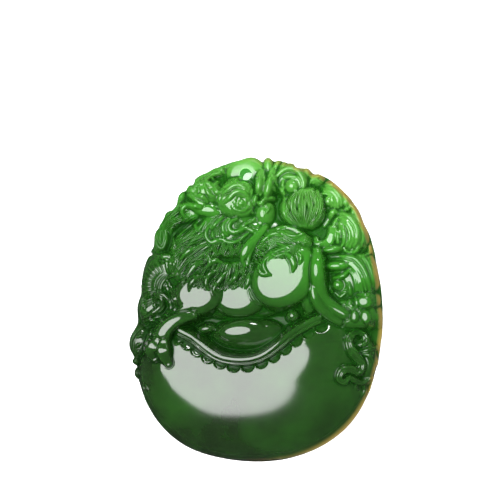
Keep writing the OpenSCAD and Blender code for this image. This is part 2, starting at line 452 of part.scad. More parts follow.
module carving() {
    stone_blank();
    money_bag();
    bag_trim();
    hole_disc();
    for (m = masses) swelling(m, m[3] > 4.2 ? 14 : 9, m[3] > 4.2 ? [1, 0.82, 0.5] : [1, 0.65]);
    for (m = knobs) swelling(m, m[3] > 1.5 ? 8 : 6, m[3] > 1.5 ? [0.95, 0.5] : [0.85]);
    for (p = limbs) limb(p);
    carved_cords(head_cords);
    carved_cords(curls);
    carved_cords(cloud_cords);
    for (f = lock_fields) locks(f);
    fin();
    winding_ribbon();
}

module jade_carving() {
    color(jade_green)
        difference() {
            resize([pendant_w, pendant_h, pendant_t]) carving();
            translate([disc_at.x * pendant_w / carved_w, disc_at.y * pendant_h / carved_h, -1])
                cylinder(d = hole_d, h = pendant_t + 2, $fn = 48);
        }
}

jade_carving();
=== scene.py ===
import math

import bmesh
import bpy
import numpy as np
from mathutils import Matrix, Vector


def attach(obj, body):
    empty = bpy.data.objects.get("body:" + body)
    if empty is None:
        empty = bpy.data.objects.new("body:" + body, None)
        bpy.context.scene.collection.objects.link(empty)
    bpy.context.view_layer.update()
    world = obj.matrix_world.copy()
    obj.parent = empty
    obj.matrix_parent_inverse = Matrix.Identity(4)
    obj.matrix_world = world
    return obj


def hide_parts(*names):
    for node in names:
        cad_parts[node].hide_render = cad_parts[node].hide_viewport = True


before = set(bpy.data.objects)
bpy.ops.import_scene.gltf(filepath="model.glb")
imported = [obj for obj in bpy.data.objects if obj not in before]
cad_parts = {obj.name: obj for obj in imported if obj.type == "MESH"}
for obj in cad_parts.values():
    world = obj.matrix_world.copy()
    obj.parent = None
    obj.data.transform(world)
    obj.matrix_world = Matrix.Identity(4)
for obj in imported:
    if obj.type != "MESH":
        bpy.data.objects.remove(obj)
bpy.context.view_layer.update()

# All tables and the height field are in millimetres. The flat back lies on z = 0
MM = 0.001

# Flat back, ground and cord hole
EDGE_T = 4.2
GROUND_T = 9.2
HALF_W = 24.8
HALF_H = 30.4
EGG = 0.10
SQUARENESS = 2.3
LEAN = math.radians(5.6)
HOLE_AT = (-2.4066, 26.8044)
HOLE_R = 1.2
DISC_R = 4.0
DISC_T = 8.6

# Money bag
BAG_AT = (-1.3, -14.0)
BAG_REACH = (23.2, 16.4)
BAG_T = 12.0
BAG_EDGE_T = 3.4
BAG_FLATNESS = 3.6
BAG_FALL = 0.66
FLATTER_BLEND = 8
FLATTER_LEFT_FROM = -20
FLATTER_RIGHT_FROM = -14
SCALLOP_R = 1.28
SCALLOP_SINK = 0.9
SCALLOP_TILT = 0.8
MOUTH_DEPTH = 1.8
MOUTH_X = (-14.5, 12.6)
MOUTH_TOP = 0.6
RIM_END_Y = -1.6

# Fin behind the shoulder: its middle, and the turn of its teeth in degrees
FIN_AT = (-17.7, 4.4)
TEETH = 12
FIRST_TOOTH = 74
TOOTH_TURN = 10.4

# Silhouette of the stone seen from the front, anticlockwise from the right. Columns: x, y
silhouette = [
    [24.8, -2.5], [24.6, 0.0], [24.3, 4.0], [23.8, 7.0], [23.3, 9.6], [23.1, 11.0], [22.6, 13.0],
    [22.0, 15.0], [21.0, 17.0], [20.0, 19.6], [19.0, 21.1], [18.0, 22.5], [17.0, 23.4], [16.0, 24.4],
    [15.0, 25.3], [14.0, 26.1], [13.0, 26.6], [12.0, 27.0], [11.1, 27.0], [10.0, 28.0], [9.2, 28.2],
    [7.6, 28.2], [7.0, 29.0], [5.6, 29.3], [4.5, 29.7], [3.0, 29.7], [2.3, 30.2], [1.3, 30.2],
    [0.8, 29.5], [0.1, 29.9], [-0.8, 30.3], [-2.0, 30.3], [-4.0, 29.7], [-6.0, 29.4], [-7.2, 29.0],
    [-8.0, 28.5], [-9.0, 28.1], [-10.4, 27.3], [-11.3, 27.0], [-12.5, 26.2], [-12.8, 24.8],
    [-13.6, 24.7], [-14.2, 23.8], [-15.0, 23.6], [-15.8, 22.8], [-16.2, 22.0], [-16.3, 21.0],
    [-17.0, 19.9], [-18.4, 19.3], [-19.0, 18.0], [-20.3, 16.3], [-20.9, 15.0], [-21.1, 13.0],
    [-21.8, 12.1], [-22.0, 11.6], [-21.7, 11.0], [-22.6, 10.4], [-23.5, 8.0], [-23.8, 5.0],
    [-24.0, 3.0], [-24.8, 0.8], [-24.9, -0.3], [-24.6, -2.0], [-24.9, -3.6], [-25.7, -5.0],
    [-26.2, -6.4], [-26.2, -7.8], [-25.3, -9.7], [-25.6, -10.5], [-25.0, -11.6], [-25.2, -12.6],
    [-24.8, -14.3], [-24.2, -15.0], [-23.5, -16.6], [-22.2, -19.6], [-20.2, -22.6], [-17.4, -25.6],
    [-14.0, -28.0], [-10.0, -29.6], [-6.0, -30.5], [-2.0, -30.8], [2.0, -30.6], [6.0, -29.9],
    [10.0, -28.5], [13.6, -26.6], [16.8, -24.2], [19.2, -21.6], [21.0, -19.0], [22.4, -16.4],
    [22.8, -15.0], [23.4, -12.5], [24.1, -10.0], [24.5, -7.0], [24.8, -5.0],
]

# Low swellings under the clouds, the fin, the leaves and the shell.
# Columns: x, y, top, half length, half width, drop to the shoulder, turn in degrees, flatness
low_masses = [
    [17.6, 15.0, 9.0, 3.4, 4.6, 2.0, -4, 2.6],
    [18.6, 6.6, 9.2, 4.8, 4.8, 2.2, 0, 2.8],
    [14.6, 21.8, 8.6, 3.0, 3.2, 1.8, -30, 2.6],
    [-18.9, 5.4, 8.2, 4.6, 5.6, 2.0, 0, 2.8],
    [-20.4, 0.4, 7.8, 3.8, 3.2, 2.0, 20, 2.8],
    [6.4, 25.2, 9.2, 3.4, 3.3, 2.0, 0, 2.6],
    [-9.4, 26.2, 7.6, 4.2, 2.0, 1.6, 27, 2.6],
    [-24.0, -6.6, 7.2, 2.6, 3.6, 2.4, 0, 2.4],
    [-19.6, 13.8, 8.0, 1.8, 2.6, 1.8, -8, 2.4],
    [11.2, 25.6, 7.8, 1.8, 1.6, 1.4, 0, 2.4],
    [21.2, -9.8, 7.6, 2.2, 4.4, 2.6, 0, 2.6],
]

# Body of the beast and the nugget. Columns as in the table of low swellings
masses = [
    [-3.4, 8.4, 10.4, 15.0, 10.6, 2.6, 0, 3],
    [-9.4, 10.4, 10.9, 8.2, 6.6, 1.6, 30, 2.8],
    [-4.6, 6.8, 10.8, 5.4, 4.2, 1.4, 0, 2.8],
    [-16.4, 19.4, 8.8, 4.8, 2.4, 1.8, 50, 2.6],
    [4.4, 12.6, 11.3, 6.6, 3.6, 2.2, 2, 2.4],
    [-5.6, 16.6, 11.0, 5.6, 3.6, 1.8, 0, 2.8],
    [0.4, 14.6, 10.6, 2.6, 3.6, 2.2, 30, 2.6],
    [-3.6, 2.6, 11.1, 5.4, 4.2, 1.7, 2, 3.4],
    [18.2, -0.9, 10.0, 5.4, 3.1, 2.8, -4, 2.6],
    [9.6, 4.4, 11.2, 2.1, 5.4, 2.4, 8, 2.4],
    [5.5, 6.6, 12.9, 7.0, 5.7, 1.6, 38, 3.8],
    [-11.6, 3.0, 12.1, 4.8, 4.0, 1.5, 8, 4.0],
    [-14.2, -0.7, 12.0, 1.8, 1.7, 1.4, -30, 3.0],
    [-1.8, -4.9, 10.5, 7.4, 3.5, 3.2, 2, 2.2],
    [-3.2, -4.1, 11.0, 4.6, 2.2, 1.6, 6, 2.2],
    [1.2, 19.0, 10.8, 2.4, 3.2, 3.2, 0, 2.0],
    [-13.0, 19.2, 10.0, 2.3, 1.6, 1.6, 0, 2.4],
    [-9.8, 19.8, 11.2, 3.4, 1.5, 1.6, -10, 2.6],
    [-10.0, 23.0, 11.4, 4.2, 2.5, 2.6, -14, 2.4],
    [-4.2, 21.6, 12.2, 4.0, 3.7, 2.4, 0, 2.8],
    [-3.6, 23.4, 12.3, 3.0, 1.9, 1.8, 0, 2.3],
    [9.4, 19.9, 11.2, 3.7, 3.9, 1.5, 0, 3.2],
]

# Small rounded forms. Columns as in the table of low swellings
knobs = [
    # nostril, nose tip, chin and eye of the beast
    [-12.5, 23.4, 11.4, 1.1, 1.0, 1.0, 0, 2.2],
    [-13.6, 24.0, 10.4, 0.7, 0.7, 0.9, 0, 2],
    [-15.4, 22.6, 9.0, 0.9, 1.1, 1, 0, 2.2],
    [-3.1, 20.9, 12.3, 0.75, 0.7, 0.6, 0, 2],
    # treasure in the mouth of the bag
    [-10.2, -3.8, 9.2, 1.9, 1.0, 1.2, 8, 2],
    [6.9, -1.2, 9.8, 1.3, 1.3, 1.3, 0, 2],
    [3.0, 0.3, 8.8, 0.6, 0.5, 0.5, 0, 2],
    [9.9, -0.5, 9.3, 1.0, 0.7, 0.8, 10, 2],
    # toes
    [21.0, 1.6, 10.6, 1.4, 1.2, 0.5, 0, 4],
    [19.4, 1.3, 10.2, 0.5, 1.1, 0.8, 4, 2.2],
    [23.4, -1.4, 8.2, 0.6, 1.1, 1.0, 8, 2.2],
    [21.2, -1.4, 10.4, 1.0, 1.3, 0.5, 12, 4],
    [19.0, -1.3, 10.5, 0.9, 1.2, 0.6, 8, 4],
    [18.1, 1.2, 9.6, 0.7, 0.9, 0.8, -12, 2],
    # balls and rolls among the clouds
    [6.9, 24.4, 10.4, 1.5, 1.5, 1.5, 0, 2.1],
    [14.0, 21.4, 9.5, 0.95, 1.0, 0.9, 0, 2],
    [14.6, 11.9, 10.2, 1.8, 0.7, 0.9, 6, 2.6],
    [15.7, 8.6, 10.6, 2.2, 0.9, 1.1, 2, 2.4],
    [15.9, 4.9, 9.3, 1.3, 1.2, 1.2, 0, 2],
    [17.3, 21.2, 8.6, 0.5, 0.8, 0.6, 20, 2],
    [18.3, 20.4, 8.2, 0.45, 0.4, 0.5, 0, 2],
    [17.6, 19.9, 8.4, 0.5, 0.4, 0.5, 0, 2],
    [18.8, 19.4, 8.0, 0.35, 0.6, 0.5, 0, 2],
    # petals beside the disc
    [2.0, 28.6, 8.4, 0.95, 1.9, 1.4, 0, 2.4],
    [3.5, 28.3, 8.2, 0.55, 1.7, 1.0, -24, 2.2],
    [4.6, 28.3, 8.0, 0.5, 1.6, 1.0, -42, 2.2],
    [5.8, 28.5, 7.8, 0.5, 1.6, 1.0, -58, 2.2],
    [9.5, 26.9, 8.0, 1.0, 1.4, 1.3, -20, 2.4],
    [1.1, 26.4, 10.2, 0.35, 0.3, 0.4, 0, 2],
    # ear lobes
    [0.4, 24.4, 12.2, 0.85, 1.9, 1.6, -8, 2.4],
    [2.2, 24.0, 12.0, 0.85, 2.3, 1.6, -14, 2.4],
    [-0.4, 21.6, 11.8, 0.5, 1.0, 0.8, -12, 2.2],
    [0.7, 20.9, 11.4, 0.7, 0.5, 0.7, 0, 2],
    # lobes of the left edge
    [-24.9, -10.4, 6.6, 0.9, 0.8, 1, 0, 2],
    [-24.6, -12.9, 6.4, 0.8, 1.0, 1, 0, 2],
    [-18.1, 10.4, 9.2, 1.5, 0.7, 0.8, -4, 3],
    [-18.0, 4.7, 8.8, 1.1, 1.0, 1.0, 30, 2],
    [-19.6, 1.2, 8.4, 0.55, 0.6, 0.7, 0, 2],
]

# Scallops along the bag's trim. Columns: x, y
scallops = [
    [-15.5, -5.3], [-13.6, -6.6], [-11.7, -7.9], [-9.5, -9.2], [-7.1, -10.2], [-4.5, -10.85], [-1.8, -10.8],
    [0.8, -10.1], [3.2, -8.9], [5.4, -7.4], [7.5, -5.75], [9.9, -4.3], [12.4, -3.1]
]

# Line of the bag's rim. Columns: x, y
rim_line = [
    [-16.4, -3.4], [-15.3, -4.1], [-12.9, -5.3], [-10.7, -6.9], [-8.7, -8.3], [-6.8, -9.2], [-4.0, -9.65],
    [-1.6, -9.55], [0.6, -8.95], [3.0, -7.5], [5.2, -5.7], [7.2, -4.1], [9.6, -2.7], [11.9, -1.6],
    [15.0, -1.6],
]

# Carved cords. Each is a row of points. Columns: x, y, height over the form below, half width
hind_leg = [
    [[11.7, 11.4, 0.8, 0.9], [11.7, 9.4, 1.6, 1.25], [11.7, 7.4, 1.8, 1.45], [11.9, 5.4, 1.8, 1.45],
     [12.4, 3.4, 1.7, 1.35], [13.4, 1.8, 1.4, 1.2], [15.0, 0.4, 0.8, 1.3], [17.0, -0.8, 0.3, 1.2]],
    [[10.9, 5.0, 0.3, 0.6], [11.0, 3.4, 1.2, 0.85], [11.5, 1.8, 1.6, 1.0], [12.6, 0.2, 1.4, 1.1],
     [14.2, -1.2, 0.8, 1.1], [16.0, -2.4, 0.2, 0.9]],
]
limbs = [
    # foreleg
    [[-12.6, -1.0, 0.3, 1.0], [-14.4, -1.5, 1.2, 1.2], [-16.4, -2.4, 1.8, 1.4],
     [-18.0, -3.9, 2.0, 1.6], [-18.8, -5.6, 2.0, 1.7], [-18.9, -6.8, 1.2, 1.4]],
    # beard that hangs from the cheek
    [[1.6, 16.2, 0.2, 0.6], [0.0, 14.4, 0.5, 0.8], [-1.4, 12.8, 0.8, 0.95], [-2.4, 11.2, 0.9, 0.85],
     [-2.8, 9.8, 0.6, 0.5], [-2.4, 8.6, 0.2, 0.3]],
    [[0.4, 14.2, 0.3, 0.35], [-0.6, 12.7, 0.5, 0.4], [-1.5, 10.8, 0.5, 0.5], [-1.9, 8.8, 0.2, 0.3]],
]

head_cords = [
    # crown's edge, brow and the ridges that run from it along the snout
    [[-6.0, 25.2, 0.1, 0.3], [-4.9, 25.75, 0.3, 0.35], [-3.4, 25.85, 0.35, 0.4], [-1.9, 25.75, 0.3, 0.35],
     [-0.8, 24.9, 0.2, 0.3]],
    [[-6.4, 21.0, 0.1, 0.3], [-5.4, 21.8, 0.4, 0.45], [-4.4, 22.8, 0.5, 0.5], [-3.3, 23.1, 0.5, 0.45],
     [-2.2, 22.6, 0.4, 0.4], [-1.6, 21.6, 0.1, 0.3]],
    [[-6.6, 22.8, 0.1, 0.3], [-5.6, 23.5, 0.3, 0.35], [-4.4, 24.3, 0.35, 0.4], [-3.2, 24.3, 0.3, 0.35],
     [-2.2, 23.7, 0.2, 0.3]],
    [[-6.4, 24.0, 0.1, 0.25], [-5.4, 24.5, 0.25, 0.3], [-4.2, 24.9, 0.25, 0.3]],
    [[-4.9, 20.2, 0.1, 0.25], [-4.3, 19.7, 0.25, 0.3], [-3.3, 19.3, 0.3, 0.3], [-2.3, 19.5, 0.3, 0.3],
     [-1.7, 20.1, 0.2, 0.25]],
    [[-3.9, 18.8, 0.1, 0.25], [-2.9, 18.6, 0.25, 0.28], [-1.9, 18.9, 0.25, 0.28], [-1.2, 19.6, 0.1, 0.25]],
    # bridge of the nose and the curl on it
    [[-7.2, 25.9, 0.3, 0.3], [-7.3, 25.1, 0.5, 0.4], [-7.0, 24.5, 0.3, 0.3]],
    [[-8.2, 24.9, 0.2, 0.3], [-8.4, 23.9, 0.5, 0.4], [-7.9, 23.1, 0.6, 0.45], [-7.0, 23.0, 0.2, 0.3]],
    [[-10.3, 24.4, 0.2, 0.25], [-9.9, 23.6, 0.5, 0.35], [-9.3, 22.6, 0.5, 0.4], [-8.5, 22.2, 0.2, 0.3]],
    [[-12.1, 25.1, 0.2, 0.2], [-11.7, 24.6, 0.5, 0.3], [-12.2, 24.2, 0.3, 0.25]],
    [[-11.6, 25.7, 0.3, 0.2], [-11.4, 25.1, 0.6, 0.28], [-11.0, 24.7, 0.4, 0.22]],
    [[-10.9, 25.6, 0.3, 0.2], [-10.7, 25.0, 0.6, 0.28], [-10.3, 24.7, 0.4, 0.22]],
    [[-9.4, 24.8, 0.4, 0.25], [-10.1, 25.2, 0.7, 0.32], [-10.0, 26.0, 0.7, 0.35], [-9.2, 26.1, 0.6, 0.32],
     [-8.6, 25.4, 0.3, 0.25]],
    # lips, tooth and the whisker that curls under the jaw
    [[-13.4, 22.7, 0.3, 0.3], [-12.6, 22.0, 0.8, 0.35], [-11.6, 21.3, 1.0, 0.4], [-10.6, 20.8, 0.6, 0.4]],
    [[-12.2, 22.4, 0.4, 0.25], [-11.2, 22.3, 0.8, 0.42], [-10.4, 21.9, 0.8, 0.42], [-9.8, 21.2, 0.3, 0.25]],
    [[-14.5, 18.2, 0.4, 0.25], [-14.9, 19.3, 1.0, 0.35], [-14.6, 20.2, 1.4, 0.4], [-13.6, 20.6, 1.6, 0.42],
     [-12.4, 20.4, 1.4, 0.42], [-11.2, 20.2, 0.6, 0.45]],
    # ear: rib between its lobes and the folds at its root
    [[1.3, 25.8, 0.3, 0.25], [1.3, 24.4, 0.7, 0.3], [1.2, 23.6, 0.6, 0.3], [0.6, 22.6, 0.4, 0.3]],
    [[0.9, 21.2, 0.2, 0.25], [1.7, 21.8, 0.5, 0.35], [2.8, 22.0, 0.3, 0.3]],
    [[1.7, 18.9, 0.2, 0.2], [2.1, 19.5, 0.4, 0.28], [2.4, 20.0, 0.1, 0.2]],
    [[-1.4, 19.1, 0.2, 0.2], [-0.9, 19.1, 0.4, 0.35], [-0.5, 19.2, 0.1, 0.2]],
    # scales behind the ear
    [[2.9, 26.5, 0.2, 0.25], [3.3, 25.6, 0.5, 0.35], [3.6, 24.9, 0.2, 0.2]],
    [[3.3, 25.3, 0.2, 0.2], [3.8, 24.5, 0.4, 0.3], [4.0, 23.9, 0.2, 0.2]],
    [[2.8, 24.3, 0.2, 0.2], [3.3, 23.6, 0.4, 0.3], [3.8, 23.2, 0.2, 0.2]],
]

curls = [
    # cheek curls, one inside the other
    [[-4.0, 17.8, 0.4, 0.28], [-4.9, 17.4, 0.5, 0.35], [-5.5, 16.6, 0.6, 0.38], [-5.4, 15.8, 0.6, 0.4],
     [-4.6, 15.2, 0.6, 0.45], [-3.4, 15.5, 0.6, 0.4], [-2.4, 16.0, 0.5, 0.35], [-1.6, 15.8, 0.5, 0.38],
     [-0.6, 15.3, 0.5, 0.42], [0.1, 15.7, 0.2, 0.25]],
    [[-5.4, 17.9, 0.3, 0.25], [-6.4, 17.0, 0.5, 0.35], [-6.7, 16.0, 0.6, 0.4], [-6.4, 15.2, 0.5, 0.35],
     [-5.8, 14.7, 0.3, 0.25]],
    [[-6.8, 18.2, 0.2, 0.25], [-7.6, 17.4, 0.4, 0.3], [-8.4, 16.6, 0.5, 0.38], [-8.9, 16.0, 0.2, 0.25]],
    [[-9.1, 16.6, 0.1, 0.2], [-9.8, 15.8, 0.5, 0.32], [-10.1, 14.8, 0.6, 0.35], [-9.8, 13.9, 0.5, 0.35],
     [-9.0, 13.2, 0.5, 0.4], [-8.0, 13.5, 0.6, 0.5], [-6.9, 13.7, 0.4, 0.35], [-5.9, 13.3, 0.4, 0.32],
     [-4.8, 13.2, 0.4, 0.32], [-3.6, 13.6, 0.4, 0.3], [-2.6, 14.4, 0.4, 0.3], [-1.8, 15.0, 0.2, 0.25]],
    [[-8.8, 15.2, 0.2, 0.25], [-8.7, 14.5, 0.4, 0.35], [-8.4, 14.1, 0.1, 0.2]],
    [[-10.6, 18.1, 0.3, 0.22], [-11.6, 17.6, 0.5, 0.28], [-12.3, 16.7, 0.5, 0.3], [-12.0, 15.8, 0.4, 0.28],
     [-11.5, 15.7, 0.5, 0.3], [-11.0, 16.5, 0.5, 0.28], [-10.4, 17.3, 0.3, 0.22]],
    [[-5.2, 15.0, 0.2, 0.2], [-5.9, 15.6, 0.3, 0.22], [-6.0, 16.6, 0.2, 0.2]],
    [[-7.0, 14.9, 0.2, 0.2], [-6.6, 14.4, 0.3, 0.22], [-6.3, 14.2, 0.1, 0.2]],
    # fold below the cheek and the two lines behind the beard
    [[-3.4, 16.2, 0.1, 0.2], [-2.6, 16.6, 0.3, 0.25], [-1.5, 17.2, 0.3, 0.25], [-0.8, 17.7, 0.1, 0.2]],
    [[-1.0, 17.2, 0.1, 0.2], [-0.6, 17.9, 0.3, 0.25], [-0.4, 17.2, 0.1, 0.2]],
    [[0.2, 15.4, 0.1, 0.25], [0.8, 15.9, 0.4, 0.35], [1.4, 16.3, 0.1, 0.25]],
    # comma on the rump's edge
    [[2.1, 10.2, 0.1, 0.18], [1.5, 9.4, 0.5, 0.32], [1.4, 8.4, 0.5, 0.35], [2.0, 7.3, 0.4, 0.3],
     [2.8, 6.7, 0.1, 0.2]],
    [[0.45, 8.7, 0.3, 0.2], [0.45, 7.8, 0.6, 0.3], [0.9, 7.1, 0.6, 0.34], [1.7, 6.8, 0.5, 0.3],
     [2.6, 6.75, 0.1, 0.2]],
    # edges of the rump and of the back
    [[-1.5, 3.9, 0.1, 0.2], [-1.0, 2.6, 0.3, 0.25], [-0.2, 1.6, 0.35, 0.28], [0.8, 1.0, 0.2, 0.22]],
    [[-8.5, 5.0, 0.1, 0.2], [-8.35, 4.0, 0.3, 0.25], [-7.9, 3.2, 0.3, 0.25], [-7.3, 2.8, 0.1, 0.2]],
    [[4.0, 15.9, 0.2, 0.3], [5.4, 16.2, 0.5, 0.4], [7.0, 15.9, 0.5, 0.4], [8.4, 15.2, 0.2, 0.3]],
    [[5.1, 15.1, 0.1, 0.2], [6.4, 14.5, 0.4, 0.3], [7.8, 14.3, 0.4, 0.32], [8.9, 14.9, 0.3, 0.3]],
    [[5.2, 15.1, 0.1, 0.15], [5.8, 14.7, 0.25, 0.2], [6.4, 14.2, 0.1, 0.15]],
    [[1.0, 13.4, 0.1, 0.3], [2.6, 14.6, 0.3, 0.4], [3.6, 14.9, 0.3, 0.4], [4.6, 14.5, 0.1, 0.3]],
    # hair lines on the back
    [[4.0, 13.0, 0.1, 0.2], [5.2, 12.5, 0.35, 0.25], [6.3, 12.0, 0.1, 0.2]],
    [[2.9, 11.3, 0.1, 0.2], [3.7, 11.3, 0.35, 0.25], [4.6, 11.7, 0.3, 0.25], [5.6, 11.9, 0.1, 0.2]],
    [[3.6, 10.5, 0.1, 0.2], [5.0, 10.8, 0.3, 0.22], [6.4, 11.6, 0.1, 0.2]],
]

